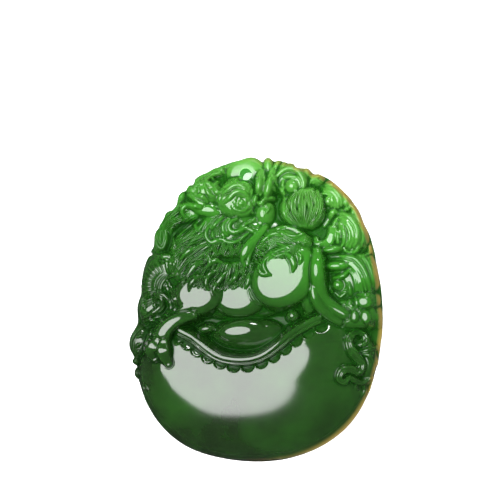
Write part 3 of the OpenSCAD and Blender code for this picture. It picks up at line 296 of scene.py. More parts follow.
cloud_cords = [
    # snail shell above the tail
    [[3.6, 26.1, 0.3, 0.3], [4.4, 27.0, 0.7, 0.4], [5.4, 27.7, 0.9, 0.45], [6.6, 27.9, 1.0, 0.5],
     [7.8, 27.4, 1.0, 0.5], [8.6, 26.4, 1.0, 0.48], [9.1, 25.2, 1.0, 0.45], [9.0, 24.0, 0.7, 0.35]],
    [[5.4, 26.2, 0.3, 0.3], [6.6, 26.2, 0.5, 0.38], [7.7, 25.9, 0.6, 0.38], [8.3, 25.0, 0.6, 0.35],
     [8.35, 24.1, 0.4, 0.3]],
    [[5.1, 25.4, 0.2, 0.2], [4.95, 24.6, 0.4, 0.28], [5.2, 23.8, 0.2, 0.2]],
    [[4.4, 24.0, 0.2, 0.25], [4.9, 23.4, 0.6, 0.35], [5.2, 22.9, 0.4, 0.3]],
    # small curl and nested arcs at the upper right edge
    [[10.3, 24.8, 0.3, 0.25], [10.6, 25.5, 0.5, 0.32], [11.3, 25.8, 0.5, 0.35], [12.1, 25.4, 0.4, 0.3]],
    [[10.9, 25.0, 0.2, 0.2], [11.3, 25.3, 0.3, 0.22], [11.8, 25.2, 0.1, 0.2]],
    [[10.6, 26.2, 0.3, 0.3], [11.2, 26.3, 0.5, 0.35], [12.0, 26.4, 0.4, 0.32]],
    [[12.7, 23.8, 0.2, 0.2], [12.8, 24.6, 0.5, 0.3], [13.2, 25.0, 0.2, 0.2]],
    [[13.7, 24.6, 0.4, 0.3], [14.6, 24.7, 0.6, 0.4], [15.1, 24.7, 0.3, 0.3]],
    [[13.9, 24.2, 0.3, 0.25], [14.9, 23.8, 0.5, 0.3], [15.8, 23.0, 0.6, 0.32], [16.4, 21.9, 0.6, 0.32],
     [16.5, 20.8, 0.4, 0.28]],
    [[13.8, 23.6, 0.3, 0.25], [14.7, 23.3, 0.5, 0.28], [15.5, 22.5, 0.5, 0.3], [15.9, 21.5, 0.5, 0.3],
     [15.8, 20.3, 0.3, 0.25]],
    [[13.2, 23.4, 0.2, 0.22], [14.2, 23.0, 0.4, 0.28], [15.0, 22.2, 0.5, 0.28], [15.3, 21.2, 0.5, 0.28],
     [15.2, 20.3, 0.3, 0.25]],
    [[12.6, 22.8, 0.2, 0.2], [13.6, 22.8, 0.3, 0.25], [14.6, 22.0, 0.4, 0.25], [14.8, 21.0, 0.4, 0.25],
     [14.5, 20.3, 0.2, 0.2]],
    [[17.1, 22.4, 0.2, 0.2], [17.5, 21.6, 0.4, 0.28], [17.9, 20.9, 0.2, 0.2]],
    [[18.3, 20.8, 0.2, 0.2], [19.0, 19.8, 0.4, 0.3], [19.6, 18.4, 0.4, 0.3], [20.3, 17.0, 0.2, 0.25]],
    [[16.1, 19.4, 0.4, 0.3], [16.8, 19.5, 0.6, 0.38], [17.4, 19.4, 0.3, 0.3]],
    # stem below the tail
    [[15.9, 19.0, 0.5, 0.4], [15.1, 19.3, 0.9, 0.6], [14.4, 18.7, 1.0, 0.7], [13.9, 17.7, 0.9, 0.65],
     [13.2, 16.6, 0.5, 0.5]],
    # upper cloud: nested loops that run from the top to the foot
    [[15.8, 18.9, 0.5, 0.32], [17.0, 18.7, 0.8, 0.42], [18.2, 17.9, 0.9, 0.46], [19.2, 16.6, 1.0, 0.48],
     [19.6, 15.2, 1.0, 0.48], [19.5, 13.8, 0.8, 0.4], [19.0, 12.6, 0.4, 0.3]],
    [[16.2, 18.2, 0.4, 0.25], [17.4, 17.5, 0.7, 0.3], [18.3, 16.4, 0.8, 0.34], [18.8, 15.0, 0.8, 0.34],
     [18.7, 13.6, 0.7, 0.32], [18.2, 12.4, 0.4, 0.25]],
    [[16.6, 17.4, 0.4, 0.28], [17.5, 16.5, 0.7, 0.36], [18.1, 15.2, 0.8, 0.38], [18.1, 13.8, 0.8, 0.38],
     [17.6, 12.6, 0.4, 0.28]],
    [[16.2, 16.9, 0.3, 0.28], [16.8, 15.8, 0.7, 0.4], [17.1, 14.6, 0.8, 0.42], [17.0, 13.3, 0.6, 0.36],
     [16.6, 12.6, 0.3, 0.28]],
    [[15.0, 16.6, 0.3, 0.25], [15.3, 15.6, 0.6, 0.36], [15.6, 14.5, 0.7, 0.4], [15.8, 13.3, 0.5, 0.34]],
    [[15.8, 18.2, 0.2, 0.2], [15.2, 17.2, 0.5, 0.28], [14.8, 16.4, 0.2, 0.22]],
    [[16.2, 16.4, 0.1, 0.2], [16.1, 15.2, 0.3, 0.28], [16.3, 14.0, 0.1, 0.2]],
    [[20.4, 16.6, 0.2, 0.22], [20.7, 15.2, 0.5, 0.3], [20.8, 13.8, 0.5, 0.32], [20.4, 12.6, 0.2, 0.22]],
    [[21.5, 14.8, 0.1, 0.2], [21.6, 13.8, 0.3, 0.25], [21.4, 12.8, 0.1, 0.2]],
    [[20.9, 13.4, 0.2, 0.2], [21.1, 12.6, 0.4, 0.3], [20.7, 11.7, 0.4, 0.3], [20.0, 11.2, 0.1, 0.2]],
    [[22.2, 12.6, 0.1, 0.2], [22.1, 11.4, 0.3, 0.28], [21.2, 10.7, 0.3, 0.28], [20.2, 10.6, 0.1, 0.2]],
    [[19.9, 12.4, 0.2, 0.2], [19.4, 11.6, 0.4, 0.28], [18.6, 11.0, 0.4, 0.28], [17.6, 11.0, 0.2, 0.22]],
    [[18.9, 11.9, 0.1, 0.2], [18.4, 11.3, 0.3, 0.22], [17.4, 11.5, 0.3, 0.25], [17.0, 12.3, 0.1, 0.2]],
    # lower cloud: nested loops round the rolls and the ball
    [[14.2, 10.4, 0.4, 0.28], [15.6, 10.5, 0.6, 0.32], [17.2, 10.4, 0.7, 0.36], [18.8, 10.1, 0.8, 0.38],
     [20.0, 9.1, 0.9, 0.4], [20.9, 7.8, 0.9, 0.4], [21.5, 6.3, 0.9, 0.4], [21.9, 4.9, 0.8, 0.38],
     [22.0, 3.9, 0.4, 0.3]],
    [[14.6, 9.8, 0.3, 0.22], [16.4, 9.8, 0.4, 0.25], [18.2, 9.4, 0.6, 0.28], [19.4, 8.4, 0.7, 0.3],
     [20.3, 7.1, 0.7, 0.3], [20.9, 5.6, 0.7, 0.3], [21.3, 3.9, 0.4, 0.25]],
    [[18.0, 9.0, 0.4, 0.25], [19.0, 8.1, 0.6, 0.3], [19.8, 6.9, 0.7, 0.34], [20.3, 5.5, 0.7, 0.34],
     [20.6, 3.7, 0.5, 0.3]],
    [[18.3, 8.2, 0.3, 0.22], [19.1, 7.2, 0.5, 0.28], [19.6, 6.0, 0.6, 0.28], [19.9, 4.8, 0.6, 0.28],
     [20.0, 3.7, 0.4, 0.25]],
    [[18.3, 7.4, 0.3, 0.22], [18.9, 6.4, 0.5, 0.28], [19.2, 5.2, 0.5, 0.28], [19.4, 3.8, 0.4, 0.25]],
    [[20.9, 10.2, 0.2, 0.22], [21.7, 9.0, 0.5, 0.3], [22.3, 7.5, 0.6, 0.32], [22.7, 6.0, 0.6, 0.32],
     [22.9, 4.6, 0.5, 0.3], [22.8, 3.6, 0.2, 0.22]],
    [[21.9, 9.9, 0.1, 0.2], [22.5, 8.7, 0.3, 0.25], [23.0, 7.0, 0.4, 0.28], [23.4, 5.2, 0.3, 0.25]],
    [[14.9, 6.2, 0.3, 0.28], [16.2, 6.45, 0.7, 0.38], [17.2, 6.9, 0.7, 0.38], [17.9, 7.8, 0.3, 0.28]],
    [[14.1, 7.1, 0.1, 0.2], [15.6, 7.4, 0.3, 0.25], [17.0, 7.5, 0.1, 0.2]],
    [[14.2, 5.0, 0.3, 0.22], [14.3, 4.2, 0.6, 0.32], [14.7, 3.4, 0.4, 0.28]],
    [[17.9, 5.2, 0.3, 0.22], [18.1, 4.2, 0.6, 0.32], [18.3, 3.2, 0.5, 0.3]],
    [[15.2, 3.4, 0.2, 0.25], [16.2, 2.6, 0.5, 0.38], [17.2, 3.2, 0.3, 0.3]],
    [[19.6, 2.95, 0.4, 0.22], [20.7, 2.95, 0.6, 0.26], [21.8, 2.95, 0.4, 0.22]],
    [[17.2, 0.4, 0.2, 0.18], [17.5, -0.5, 0.4, 0.24], [18.1, -1.7, 0.2, 0.18]],
    # edge of the collar that holds the tail
    [[4.2, 22.5, 0.2, 0.25], [5.0, 22.5, 0.5, 0.3], [5.4, 21.6, 0.7, 0.34], [5.2, 20.4, 0.8, 0.36],
     [5.25, 19.2, 0.8, 0.36], [5.7, 18.1, 0.7, 0.34], [6.6, 17.1, 0.5, 0.3], [7.8, 16.3, 0.3, 0.25]],
    [[5.6, 21.8, 0.4, 0.3], [6.0, 22.2, 0.4, 0.3]],
]

# Flat loop that the lower end of the stem widens into. Columns as for the cords
collar_loop = [
    [14.6, 16.0, 0.7, 0.55], [14.6, 14.7, 1.0, 0.8], [14.1, 13.4, 1.1, 0.95], [12.9, 12.8, 1.1, 0.8],
    [11.8, 13.0, 1.0, 0.7], [11.5, 13.9, 0.6, 0.5]
]

fin_cords = [
    # rings round the fin's eye and the line that runs down from it
    [[-16.0, 6.85, 0.3, 0.25], [-17.2, 6.65, 0.5, 0.32], [-18.3, 6.1, 0.6, 0.34], [-19.1, 5.2, 0.6, 0.34],
     [-19.4, 4.1, 0.5, 0.32], [-19.3, 3.4, 0.2, 0.25]],
    [[-18.0, 7.2, 0.2, 0.22], [-19.0, 6.7, 0.4, 0.28], [-19.8, 5.8, 0.5, 0.3], [-20.15, 4.8, 0.4, 0.28],
     [-20.1, 3.8, 0.2, 0.22]],
    [[-18.1, 4.1, 0.2, 0.22], [-17.4, 3.2, 0.6, 0.34], [-16.8, 2.2, 0.8, 0.36], [-16.6, 1.1, 0.8, 0.36],
     [-16.8, 0.0, 0.6, 0.3], [-17.3, -0.8, 0.3, 0.25]],
    [[-18.4, -0.9, 0.2, 0.2], [-17.7, -1.2, 0.4, 0.25], [-16.9, -0.9, 0.2, 0.2]],
    # scroll below the fin
    [[-20.35, 1.2, 0.3, 0.25], [-20.2, 1.9, 0.6, 0.3], [-19.6, 2.3, 0.7, 0.34], [-19.0, 1.9, 0.8, 0.36],
     [-18.8, 1.0, 0.8, 0.36], [-19.2, 0.1, 0.8, 0.38], [-20.2, -0.6, 0.7, 0.38], [-21.5, -1.2, 0.5, 0.32],
     [-22.8, -1.8, 0.2, 0.25]],
    [[-20.9, 2.0, 0.3, 0.22], [-20.3, 2.8, 0.5, 0.28], [-19.2, 3.0, 0.6, 0.32], [-18.1, 2.6, 0.6, 0.32],
     [-17.5, 1.7, 0.6, 0.32], [-17.3, 0.5, 0.5, 0.3], [-17.7, -0.5, 0.2, 0.22]],
    [[-20.8, 1.2, 0.2, 0.2], [-20.7, 0.7, 0.3, 0.24], [-20.2, 0.3, 0.1, 0.2]],
    [[-20.6, 3.2, 0.3, 0.2], [-21.8, 2.9, 0.5, 0.28], [-23.0, 2.4, 0.5, 0.28], [-23.3, 1.6, 0.4, 0.28],
     [-23.0, 0.4, 0.2, 0.22]],
    [[-21.0, 2.2, 0.2, 0.2], [-22.0, 1.8, 0.4, 0.26], [-22.8, 1.2, 0.2, 0.2]],
    [[-21.2, 1.4, 0.1, 0.2], [-22.0, 0.9, 0.3, 0.22], [-22.4, 0.5, 0.1, 0.2]],
    [[-18.6, -1.0, 0.1, 0.2], [-20.2, -1.6, 0.3, 0.28], [-21.6, -2.2, 0.1, 0.2]],
    # line beside the foreleg, and the curled lobe of the left edge
    [[-20.2, -2.9, 0.3, 0.22], [-21.1, -4.2, 0.6, 0.34], [-21.8, -5.6, 0.7, 0.42], [-22.0, -7.2, 0.6, 0.36],
     [-22.1, -8.8, 0.5, 0.32], [-21.6, -10.2, 0.2, 0.25]],
    [[-21.9, -8.9, 0.1, 0.2], [-21.2, -9.7, 0.3, 0.25], [-19.8, -9.9, 0.1, 0.2]],
    [[-23.4, -3.6, 0.2, 0.25], [-24.6, -4.8, 0.4, 0.3], [-25.4, -6.2, 0.4, 0.32], [-25.5, -7.8, 0.3, 0.3],
     [-25.1, -9.2, 0.1, 0.25]],
    [[-23.4, -2.8, 0.2, 0.2], [-22.2, -2.2, 0.4, 0.28], [-20.8, -2.3, 0.3, 0.25]],
    [[-23.0, -3.4, 0.2, 0.2], [-21.8, -2.9, 0.4, 0.25], [-20.6, -3.0, 0.2, 0.2]],
    [[-24.3, -5.6, 0.2, 0.2], [-23.6, -5.3, 0.4, 0.25], [-23.1, -5.4, 0.1, 0.2]],
    [[-24.6, -7.6, 0.2, 0.2], [-24.1, -7.1, 0.4, 0.25], [-23.6, -6.9, 0.1, 0.2]],
    [[-24.4, -8.6, 0.2, 0.2], [-23.9, -8.2, 0.3, 0.22], [-23.7, -8.8, 0.1, 0.2]],
    # leaf of the left edge
    [[-20.6, 15.8, 0.3, 0.22], [-20.6, 14.2, 0.4, 0.28], [-20.0, 12.6, 0.5, 0.3], [-19.2, 12.2, 0.5, 0.3],
     [-18.6, 13.2, 0.5, 0.3], [-18.4, 14.6, 0.4, 0.28], [-18.6, 15.8, 0.2, 0.22]],
    [[-19.5, 15.6, 0.2, 0.22], [-19.6, 14.4, 0.4, 0.32], [-19.4, 13.4, 0.2, 0.25]],
    [[-17.3, 16.2, 0.2, 0.2], [-17.7, 14.8, 0.4, 0.26], [-17.9, 13.2, 0.4, 0.26], [-18.2, 12.2, 0.2, 0.2]],
    [[-16.6, 15.8, 0.1, 0.2], [-17.0, 14.4, 0.3, 0.25], [-16.6, 12.8, 0.3, 0.3]],
    [[-22.0, 11.4, 0.1, 0.2], [-21.4, 11.7, 0.3, 0.25], [-20.6, 11.6, 0.1, 0.2]],
    # curls left of the disc
    [[-9.3, 27.0, 0.2, 0.3], [-8.4, 27.3, 0.5, 0.45], [-7.3, 27.6, 0.5, 0.42], [-6.8, 27.2, 0.2, 0.25]],
    [[-8.0, 28.1, 0.2, 0.22], [-7.4, 28.5, 0.4, 0.3], [-6.9, 28.6, 0.1, 0.2]],
    [[-6.6, 28.2, 0.1, 0.2], [-6.2, 28.7, 0.3, 0.24], [-5.8, 29.1, 0.1, 0.2]],
    [[-9.3, 28.0, 0.1, 0.2], [-8.9, 28.0, 0.3, 0.22], [-8.6, 28.0, 0.1, 0.2]],
    [[-11.2, 25.9, 0.1, 0.2], [-10.6, 26.4, 0.3, 0.25], [-9.9, 26.9, 0.1, 0.2]],
]

# Ribbon with two raised edges that winds down the right side of the bag. Columns as for the cords
ribbon = [
    [20.6, -5.8, 0.5, 0.35], [19.9, -6.6, 0.6, 0.4], [20.6, -7.0, 0.7, 0.42], [21.4, -6.2, 0.8, 0.46],
    [20.9, -4.9, 0.8, 0.55], [19.2, -4.5, 0.8, 0.7], [17.9, -5.7, 0.7, 0.85], [18.2, -7.6, 0.7, 0.95],
    [19.4, -9.3, 0.8, 0.95], [20.4, -10.8, 0.9, 0.9], [19.8, -12.1, 0.9, 0.85], [18.1, -11.6, 0.8, 0.85],
    [16.6, -11.9, 0.7, 0.85], [16.0, -13.4, 0.6, 0.75], [17.0, -14.1, 0.6, 0.6], [18.0, -13.3, 0.7, 0.5],
    [19.0, -13.9, 0.8, 0.6], [20.6, -14.4, 0.8, 0.6], [22.0, -13.6, 0.5, 0.4]
]
ribbon_leaves = [
    [[20.4, -8.2, 0.3, 0.25], [21.8, -7.9, 0.6, 0.4], [23.1, -7.7, 0.3, 0.25]],
    [[20.8, -8.7, 0.3, 0.25], [22.0, -9.1, 0.6, 0.4], [23.0, -10.6, 0.2, 0.25]],
    [[20.9, -14.9, 0.2, 0.2], [21.0, -16.2, 0.3, 0.3], [20.3, -17.4, 0.1, 0.2]],
    [[19.2, -14.8, 0.1, 0.2], [19.3, -15.4, 0.3, 0.22], [19.6, -15.8, 0.1, 0.2]],
    [[-22.9, -15.0, 0.1, 0.2], [-22.9, -15.7, 0.3, 0.25], [-22.5, -16.3, 0.1, 0.2]],
    [[-22.3, -15.1, 0.1, 0.2], [-22.1, -15.7, 0.3, 0.22], [-21.8, -16.1, 0.1, 0.2]],
]

# Hair, combed evenly from one line to another. Columns: first line, last line, hairs, depth, locks
hair = [
    # band along the upper left edge
    ([[-13.8, 22.6], [-15.6, 21.2], [-17.8, 19.4], [-20.0, 17.2]],
     [[-13.4, 18.2], [-15.2, 17.4], [-16.8, 16.4], [-18.2, 15.0]], 10, 0.12, 4),
    # mane, from under the chin to the shoulder
    ([[-12.0, 18.6], [-14.4, 17.2], [-16.6, 15.6], [-17.8, 13.0]],
     [[-9.8, 14.0], [-12.0, 13.0], [-14.2, 11.6], [-16.2, 9.8]], 11, 0.13, 5),
    ([[-9.6, 14.0], [-12.4, 12.6], [-14.4, 11.2], [-16.0, 8.8]],
     [[-6.6, 10.8], [-9.6, 9.2], [-12.6, 7.4], [-14.6, 4.6]], 11, 0.14, 5),
    ([[-8.6, 13.4], [-9.6, 11.8], [-10.6, 9.6]], [[-1.6, 13.6], [-2.7, 11.8], [-3.6, 9.8]], 20, 0.14, 7),
    ([[-9.4, 9.6], [-11.6, 7.6], [-13.6, 4.8]], [[-6.4, 9.4], [-7.6, 6.6], [-9.2, 3.8]], 11, 0.14, 5),
    ([[-6.2, 9.4], [-7.2, 6.4], [-8.8, 3.4]], [[-0.4, 9.2], [-1.2, 7.0], [-2.6, 4.6]], 15, 0.14, 6),
    # cheek, from the jaw to the curls
    ([[-6.4, 19.2], [-8.6, 18.0], [-10.2, 16.2], [-10.8, 14.2]],
     [[-4.2, 18.6], [-6.0, 17.6], [-7.2, 16.2], [-7.4, 14.2]], 7, 0.12, 0),
    ([[-4.6, 15.0], [-3.4, 15.2], [-2.2, 15.6]], [[-5.2, 13.6], [-3.8, 13.6], [-2.0, 14.2]], 4, 0.1, 0),
    ([[-4.6, 18.2], [-3.2, 17.2], [-1.6, 17.6]], [[-4.6, 16.0], [-3.2, 16.2], [-1.6, 16.2]], 6, 0.1, 0),
    # comb behind the beard and hair on the back
    ([[0.9, 15.0], [2.8, 13.3]], [[-1.5, 9.4], [0.5, 8.4]], 13, 0.16, 9),
    ([[1.8, 15.0], [4.6, 14.6], [7.4, 13.4], [9.6, 13.4]],
     [[2.6, 10.4], [4.4, 10.0], [6.0, 10.2], [8.2, 11.2]], 11, 0.1, 0),
    # tail
    ([[7.4, 23.6], [5.8, 21.0], [5.9, 18.6], [8.0, 16.4]],
     [[11.8, 23.4], [13.1, 20.8], [12.8, 18.6], [10.8, 16.4]], 17, 0.14, 7),
    ([[9.2, 12.9], [10.2, 12.6], [10.9, 12.2]], [[9.6, 14.2], [10.6, 13.8], [11.4, 13.2]], 4, 0.12, 0),
    # leaf above the snout
    ([[-12.0, 26.0], [-9.8, 27.8], [-7.4, 28.8]], [[-11.0, 24.8], [-9.0, 26.0], [-6.9, 26.6]], 8, 0.14, 4),
    # crown between the brow and the disc
    ([[-6.8, 24.6], [-5.2, 25.0], [-3.0, 25.0]], [[-6.8, 22.0], [-5.6, 22.6], [-4.2, 23.4]], 6, 0.1, 0),
]

# Incised lines. Columns: x, y, depth, half width
grooves = [
    # nostril, mouth and eye of the beast
    [[-13.2, 21.9, 0.2, 0.2], [-12.4, 21.4, 0.9, 0.4], [-11.6, 21.0, 0.8, 0.35], [-10.9, 21.3, 0.3, 0.2]],
    [[-11.9, 22.0, 0.2, 0.15], [-11.0, 21.7, 0.6, 0.25], [-10.2, 21.0, 0.5, 0.25], [-9.4, 20.8, 0.3, 0.2]],
    [[-8.4, 20.2, 0.2, 0.2], [-7.8, 19.8, 0.5, 0.3], [-7.4, 20.0, 0.2, 0.2]],
    [[-10.6, 22.4, 0.2, 0.2], [-10.0, 22.6, 0.4, 0.25], [-9.6, 23.2, 0.2, 0.2]],
    [[-4.6, 21.2, 0.2, 0.2], [-3.9, 20.1, 0.4, 0.22], [-2.9, 19.8, 0.4, 0.22], [-2.1, 20.3, 0.3, 0.2]],
    [[-4.2, 21.4, 0.2, 0.2], [-3.4, 22.0, 0.4, 0.24], [-2.5, 21.7, 0.3, 0.2]],
    [[-1.9, 21.6, 0.3, 0.25], [-1.8, 20.8, 0.5, 0.32], [-2.0, 20.2, 0.3, 0.25]],
    [[-0.9, 25.2, 0.4, 0.3], [-0.7, 24.4, 0.6, 0.35], [-1.2, 23.4, 0.4, 0.3], [-1.4, 22.2, 0.4, 0.3]],
    [[-14.5, 21.0, 0.2, 0.2], [-13.2, 21.2, 0.4, 0.25], [-12.0, 20.9, 0.2, 0.2]],
    [[-7.2, 23.0, 0.2, 0.2], [-7.0, 22.2, 0.3, 0.22], [-7.3, 21.4, 0.3, 0.2]],
    [[-8.6, 21.2, 0.1, 0.2], [-7.6, 20.6, 0.3, 0.22], [-6.6, 20.0, 0.3, 0.2]],
    # hollow under the mane
    [[-8.6, 10.2, 0.2, 0.4], [-7.0, 10.0, 1.0, 0.7], [-5.4, 9.8, 1.3, 0.9], [-4.0, 9.9, 0.9, 0.7],
     [-3.2, 10.4, 0.2, 0.4]],
    # ribs of the petals
    [[1.5, 27.9, 0.2, 0.15], [1.5, 26.6, 0.4, 0.22]],
    [[3.9, 29.2, 0.2, 0.15], [3.4, 28.0, 0.4, 0.2], [2.8, 26.7, 0.3, 0.2]],
    [[5.2, 29.2, 0.2, 0.15], [4.4, 28.6, 0.3, 0.2], [3.7, 27.6, 0.3, 0.2]],
    # rings on the tail's ball
    [[10.6, 16.9, 0.1, 0.15], [11.8, 17.2, 0.3, 0.2], [12.7, 18.2, 0.3, 0.2], [13.0, 19.4, 0.1, 0.15]],
    [[10.4, 16.5, 0.1, 0.15], [11.8, 16.7, 0.3, 0.2], [12.9, 17.7, 0.3, 0.2], [13.3, 18.8, 0.1, 0.15]],
    # rolls among the clouds
    [[14.0, 7.0, 0.2, 0.2], [15.6, 6.95, 0.5, 0.3], [17.2, 7.3, 0.2, 0.2]],
]

# Claws of the foreleg. Columns as for the cords
claws = [
    [[-19.7, -6.2, 0.6, 0.7], [-20.5, -7.2, 1.1, 1.05], [-20.9, -8.4, 1.0, 1.1], [-20.3, -9.6, 0.5, 0.8]],
    [[-18.2, -6.5, 0.8, 0.9], [-18.3, -7.8, 1.3, 1.3], [-18.0, -9.2, 1.1, 1.2], [-17.4, -10.5, 0.5, 0.8]],
]

# Scrolls of the left edge, leaf above the snout and hair tips over the rump. Columns as for the cords
scrolls = [
    [[-22.9, -1.7, 0.2, 0.25], [-21.0, -0.7, 0.5, 0.38], [-19.5, 0.5, 0.6, 0.4], [-19.0, 1.8, 0.6, 0.38],
     [-19.8, 2.4, 0.5, 0.3], [-20.5, 1.9, 0.4, 0.25], [-20.3, 1.2, 0.2, 0.2]],
    [[-20.6, 3.0, 0.2, 0.25], [-18.8, 2.9, 0.5, 0.35], [-17.6, 1.6, 0.6, 0.4], [-17.3, 0.2, 0.6, 0.4],
     [-18.0, -1.2, 0.3, 0.3]],
    [[-18.0, 5.6, 0.3, 0.3], [-17.2, 4.2, 0.6, 0.42], [-16.3, 2.2, 0.7, 0.45], [-16.2, 0.4, 0.6, 0.4],
     [-16.9, -0.8, 0.2, 0.3]],
    [[-12.2, 25.4, 0.2, 0.3], [-10.8, 26.7, 0.5, 0.45], [-9.0, 27.8, 0.5, 0.45], [-7.2, 28.2, 0.3, 0.35]],
    [[-10.2, 25.8, 0.1, 0.25], [-9.0, 26.8, 0.4, 0.38], [-7.6, 27.2, 0.2, 0.3]],
    [[5.8, 10.9, 0.2, 0.4], [6.9, 9.8, 0.5, 0.6], [7.3, 8.6, 0.5, 0.5], [7.0, 7.4, 0.1, 0.2]],
    [[8.2, 10.9, 0.2, 0.35], [8.6, 10.0, 0.4, 0.4], [8.3, 8.9, 0.1, 0.2]],
    # tips of the mane
    [[-12.2, 12.2, 0.2, 0.25], [-13.6, 11.4, 0.6, 0.5], [-15.2, 9.8, 0.2, 0.2]],
    [[-11.0, 9.4, 0.2, 0.3], [-12.4, 8.4, 0.7, 0.6], [-13.9, 6.4, 0.2, 0.2]],
    [[-9.6, 10.4, 0.1, 0.3], [-9.2, 9.3, 0.6, 0.45], [-9.9, 8.2, 0.1, 0.2]],
    [[-8.9, 8.9, 0.2, 0.25], [-8.2, 9.7, 0.7, 0.5], [-6.9, 9.2, 0.2, 0.25]],
    [[-10.6, 6.6, 0.1, 0.3], [-11.8, 6.3, 0.6, 0.5], [-13.0, 4.9, 0.3, 0.4], [-13.3, 3.7, 0.1, 0.2]],
    [[-8.2, 7.6, 0.1, 0.3], [-9.4, 6.7, 0.6, 0.5], [-9.9, 5.2, 0.4, 0.4], [-9.4, 3.9, 0.1, 0.2]],
    [[-6.0, 7.4, 0.1, 0.3], [-6.9, 6.3, 0.6, 0.5], [-8.3, 4.3, 0.4, 0.4], [-8.4, 3.0, 0.1, 0.2]],
    [[-3.9, 7.6, 0.1, 0.3], [-4.3, 6.3, 0.5, 0.45], [-5.4, 5.0, 0.1, 0.2]],
    [[-1.6, 6.9, 0.1, 0.3], [-1.7, 5.6, 0.5, 0.45], [-2.4, 4.2, 0.1, 0.2]],
]

# Where the bag is flatter beside its mouth. Rows: x, shift
flatter_left = ([-25, -23.4, -22, -20.5, -19, -17, -14, -11, -8], [0, 1.3, 2.3, 3.1, 3.3, 3.0, 1.9, 0.7, 0])
flatter_right = ([1, 4, 7, 10, 13, 16, 19, 22, 24], [0, 0.8, 2.3, 3.8, 4.7, 4.4, 3.2, 1.4, 0])

# Rows of one tooth of the fin: distance from the fin's middle, height, half width
tooth = [[2.9, 0.2, 0.18], [3.9, 0.6, 0.27], [4.8, 0.7, 0.32], [5.5, 0.3, 0.24]]

# The two cords of the bag's rim. Columns: shift off the rim line, height, half width
rim_cords = [[-0.85, 0.25, 0.26], [0.0, 0.5, 0.5]]

# Lines through rows of points

LINE_STEP = 0.08


def smooth_line(rows, step=LINE_STEP):
    """Points of a smooth curve through the rows, about step apart. Every column is blended."""
    p = np.asarray(rows, float)
    ends = np.vstack([2 * p[0] - p[1], p, 2 * p[-1] - p[-2]])
    pieces = []
    for a, b, c, d in zip(ends, ends[1:], ends[2:], ends[3:]):
        count = max(2, int(math.hypot(*(c - b)[:2]) / step))
        t = np.arange(count)[:, None] / count
        pieces.append(0.5 * (2 * b + (c - a) * t + (2 * a - 5 * b + 4 * c - d) * t**2
                             + (3 * b - a - 3 * c + d) * t**3))
    return np.vstack(pieces + [p[-1:]])


def beside(rows, distance):
    """The same line moved sideways to its left."""
    p = np.array(rows, float)
    run = np.gradient(p[:, :2], axis=0)
    run /= np.linalg.norm(run, axis=1)[:, None]
    p[:, 0] -= run[:, 1] * distance
    p[:, 1] += run[:, 0] * distance
    return p


def closed_outline(points, count):
    """Radius of a closed outline round the origin, at evenly spaced angles."""
    p = np.array(points, float)
    ring = np.vstack([p[-3:], p, p[:3]])
    line = smooth_line(ring, 0.05)
    angle = np.unwrap(np.arctan2(line[:, 1], line[:, 0]))
    order = np.argsort(angle)
    theta = np.linspace(-math.pi, math.pi, count, endpoint=False)
    reach = np.hypot(line[:, 0], line[:, 1])[order]
    angle = angle[order]
    turns = [np.interp(theta + k * 2 * math.pi, angle, reach, left=-1, right=-1) for k in (0, 1, -1)]
    return theta, np.max(turns, axis=0)


OUTLINE_STEPS = 1440
outline_angle, outline_reach = closed_outline(silhouette, OUTLINE_STEPS)


def outline_at(x, y):
    """Reach of the silhouette in the direction of each point."""
    angle = np.arctan2(y, x)
    return np.interp(angle, outline_angle, outline_reach, period=2 * math.pi)


def outline_share(x, y):
    """Share of the way from the middle to the smooth oval of the stone's wall."""
    u = x * math.cos(LEAN) - y * math.sin(LEAN)
    v = x * math.sin(LEAN) + y * math.cos(LEAN)
    half_w = HALF_W * (1 - EGG * v / HALF_H)
    return (np.abs(u / half_w)**SQUARENESS + np.abs(v / HALF_H)**SQUARENESS)**(1 / SQUARENESS)


def bag_share(x, y):
    """Share of the way from the middle of the bag to its wall, flatter beside the mouth."""
    x = x + np.interp(x, *flatter_left) * np.clip((y - FLATTER_LEFT_FROM) / FLATTER_BLEND, 0, 1)
    x = x - np.interp(x, *flatter_right) * np.clip((y - FLATTER_RIGHT_FROM) / FLATTER_BLEND, 0, 1)
    return (np.abs((x - BAG_AT[0]) / BAG_REACH[0])**SQUARENESS
            + np.abs((y - BAG_AT[1]) / BAG_REACH[1])**SQUARENESS)**(1 / SQUARENESS)


def bag_rise(share):
    """Height of the bag's dome."""
    dome = np.maximum(1 - np.minimum(share, 1)**BAG_FLATNESS, 0)**BAG_FALL
    return BAG_EDGE_T + (BAG_T - BAG_EDGE_T) * dome


# Height field of the carved face

STEP = 0.08
FIELD_X = (-27.6, 26.4)
FIELD_Y = (-32.0, 31.6)
WALL_SLOPE = 3.2
MOST_PAIRS = 4_000_000
LEAST_HALF = 0.12
CORD_STAND = 0.4
CORD_MARGIN = 3
CORD_BLEND = 0.06
LEAST_GROOVE = 0.08
LOCK_POINTS = 9
LOCK_RISE = 0.34
LOCK_SWAY = 0.34
LOCK_WAVES = 1.2
LOCK_HALF = 0.47
LOCK_LEAST_HALF = 0.15
HAIR_STEPS = 240
HAIR_WAVE = 0.5
HAIR_FADE = 6

xs = np.arange(FIELD_X[0], FIELD_X[1], STEP)
ys = np.arange(FIELD_Y[0], FIELD_Y[1], STEP)
grid_x, grid_y = np.meshgrid(xs, ys)
height = np.zeros(grid_x.shape)
hair_run = np.zeros(grid_x.shape)
hair_depth = np.zeros(grid_x.shape)


def window(x_low, x_high, y_low, y_high):
    """Slices of the field over a rectangle."""
    columns = np.searchsorted(xs, [x_low, x_high])
    rows = np.searchsorted(ys, [y_low, y_high])
    return slice(rows[0], rows[1]), slice(columns[0], columns[1])


